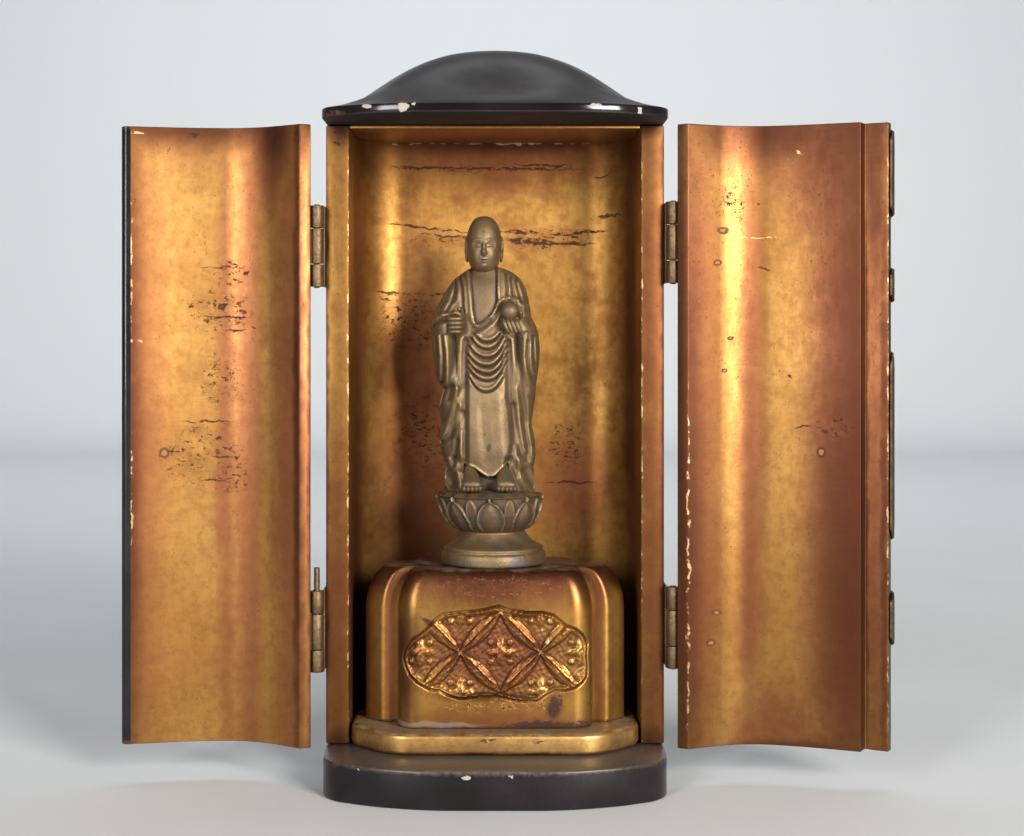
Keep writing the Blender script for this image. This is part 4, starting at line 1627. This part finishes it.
for vertex in jewel.data.vertices:
    top = (vertex.co.z / MM - FIGURE_FOOT - JEWEL.z) / JEWEL_HALF
    if top > 0.6:
        vertex.co.z += (top - 0.6) ** 2 * 2.6 * MM
pieces.append(jewel)
hands = join("figure_hands", pieces)
hands.data.materials.append(bronze("hand bronze"))
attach(hands, "case")

pieces = []
turns = [2 * math.pi * number / 28 for number in range(28)]
for ankle, toes in ((-7.9, -7.2), (2.7, 3.7)):
    rings = []
    for step in range(25):
        share = step / 24
        middle = Vector((ankle + (toes - ankle) * share, -5.4 - 7.8 * share, 30.8 - 5.9 * share**0.9))
        close = math.sqrt(max(0.02, 1 - max(0, (share - 0.8) / 0.2) ** 2))
        wide, deep = (1.6 + 1.9 * share**0.8) * close, (2.0 - 0.5 * share) * close
        flat_y, flat_z = 0.7 * deep, 0.75 * deep
        rings.append([
            middle + Vector((wide * math.cos(turn), -flat_y * math.sin(turn), flat_z * math.sin(turn)))
            for turn in turns
        ])
    instep = loft("instep", np.array(rings) + np.array((0, FIGURE_AXIS, FIGURE_FOOT)))
    face_out()
    pieces.append(instep)
    for toe in range(5):
        spot = (toes - 2.5 + toe * 1.25, -12.6 + 0.35 * abs(toe - 2), 24.6)
        pieces.append(blob("toe", spot, (0.9, 1.6, 1.15), 12, 14))
feet = join("figure_feet", pieces)
low = [1 - (vertex.co.z / MM - FIGURE_FOOT - 23.6) / 4 for vertex in feet.data.vertices]
note(feet, "hollow", 0.5 * smooth_step(np.array(low)))
feet.data.materials.append(bronze("feet bronze", filmed=0.8))
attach(feet, "case")


# Lights, camera, floor. The shrine stands on plain pale paper that is swept up behind it, between two
# soft boxes in front, with one more above and one on the backdrop, before a level camera.

bpy.ops.object.select_all(action="DESELECT")
bpy.ops.mesh.primitive_grid_add(x_subdivisions=12, y_subdivisions=40, size=1)
floor = bpy.context.object
floor.name = "studio_floor"
for vertex in floor.data.vertices:
    across = vertex.co.x * 6
    along = (vertex.co.y + 0.5) * 5 - 1.2
    bend = max(0.0, along - 1.6)
    vertex.co = (across, along - bend * 0.6, bend * bend * 0.7)
bpy.ops.object.shade_smooth()
paper, tree, shader, where = new_finish("pale paper")
far_back = level(tree, grow(tree, "SeparateXYZ", {"Vector": where}).outputs["Y"], -0.4, 1.6)
near_tone = tint(tree, clouds(tree, where, 6, 0.3, 0.7, 4), (0.47, 0.48, 0.485, 1), (0.51, 0.52, 0.525, 1))
tree.links.new(tint(tree, far_back, near_tone, (0.66, 0.675, 0.685, 1)), shader.inputs["Base Color"])
shader.inputs["Roughness"].default_value = 0.7
floor.data.materials.append(paper)

world = bpy.data.worlds.new("studio")
bpy.context.scene.world = world
world.use_nodes = True
tree = world.node_tree
way = grow(tree, "SeparateXYZ", {"Vector": grow(tree, "TexCoord").outputs["Generated"]})
overhead = combine(tree, "MULTIPLY", level(tree, way.outputs["Z"], -0.1, 1.1), 0.25)
glow = combine(tree, "MAXIMUM", overhead, level(tree, way.outputs["Y"], -0.5, 0.7))
sky = tree.nodes["Background"]
tree.links.new(tint(tree, glow, (0.32, 0.325, 0.34, 1), (0.92, 0.96, 1, 1)), sky.inputs["Color"])
sky.inputs["Strength"].default_value = 0.22
for name, place, aim, size, power, colour in (
    ("key", (0.61, -0.99, 0.40), (0, 0, 0.12), (0.38, 0.46), 27, (1, 0.97, 0.92)),
    ("fill", (-0.55, -0.98, 0.37), (0, 0, 0.12), (0.28, 0.5), 11, (0.98, 0.98, 0.98)),
    ("above", (0.0, 0.5, 1.6), (0, 0.3, 0.1), (2.4, 1.0), 2.6, (1, 1, 1)),
    ("backdrop", (0.0, 0.5, 1.5), (0, 2.2, 0.4), (2.0, 0.8), 23, (0.96, 0.98, 1)),
):
    light = bpy.data.lights.new(name, "AREA")
    light.shape = "RECTANGLE"
    light.size, light.size_y = size
    light.energy = power
    light.color = colour
    lamp = bpy.data.objects.new(name, light)
    lamp.location = place
    lamp.rotation_euler = (Vector(aim) - Vector(place)).to_track_quat("-Z", "Y").to_euler()
    bpy.context.scene.collection.objects.link(lamp)

lens = bpy.data.cameras.new("camera")
lens.sensor_fit = "HORIZONTAL"
lens.sensor_width = 36
lens.lens = 59.77
lens.shift_x = 0.0166
lens.shift_y = -0.0752
lens.clip_end = 20
camera = bpy.data.objects.new("camera", lens)
camera.location = (0, -0.54035, 0.1389)
camera.rotation_euler = (math.pi / 2, 0, 0)
bpy.context.scene.collection.objects.link(camera)
bpy.context.scene.camera = camera
bpy.context.scene.view_settings.view_transform = "Standard"
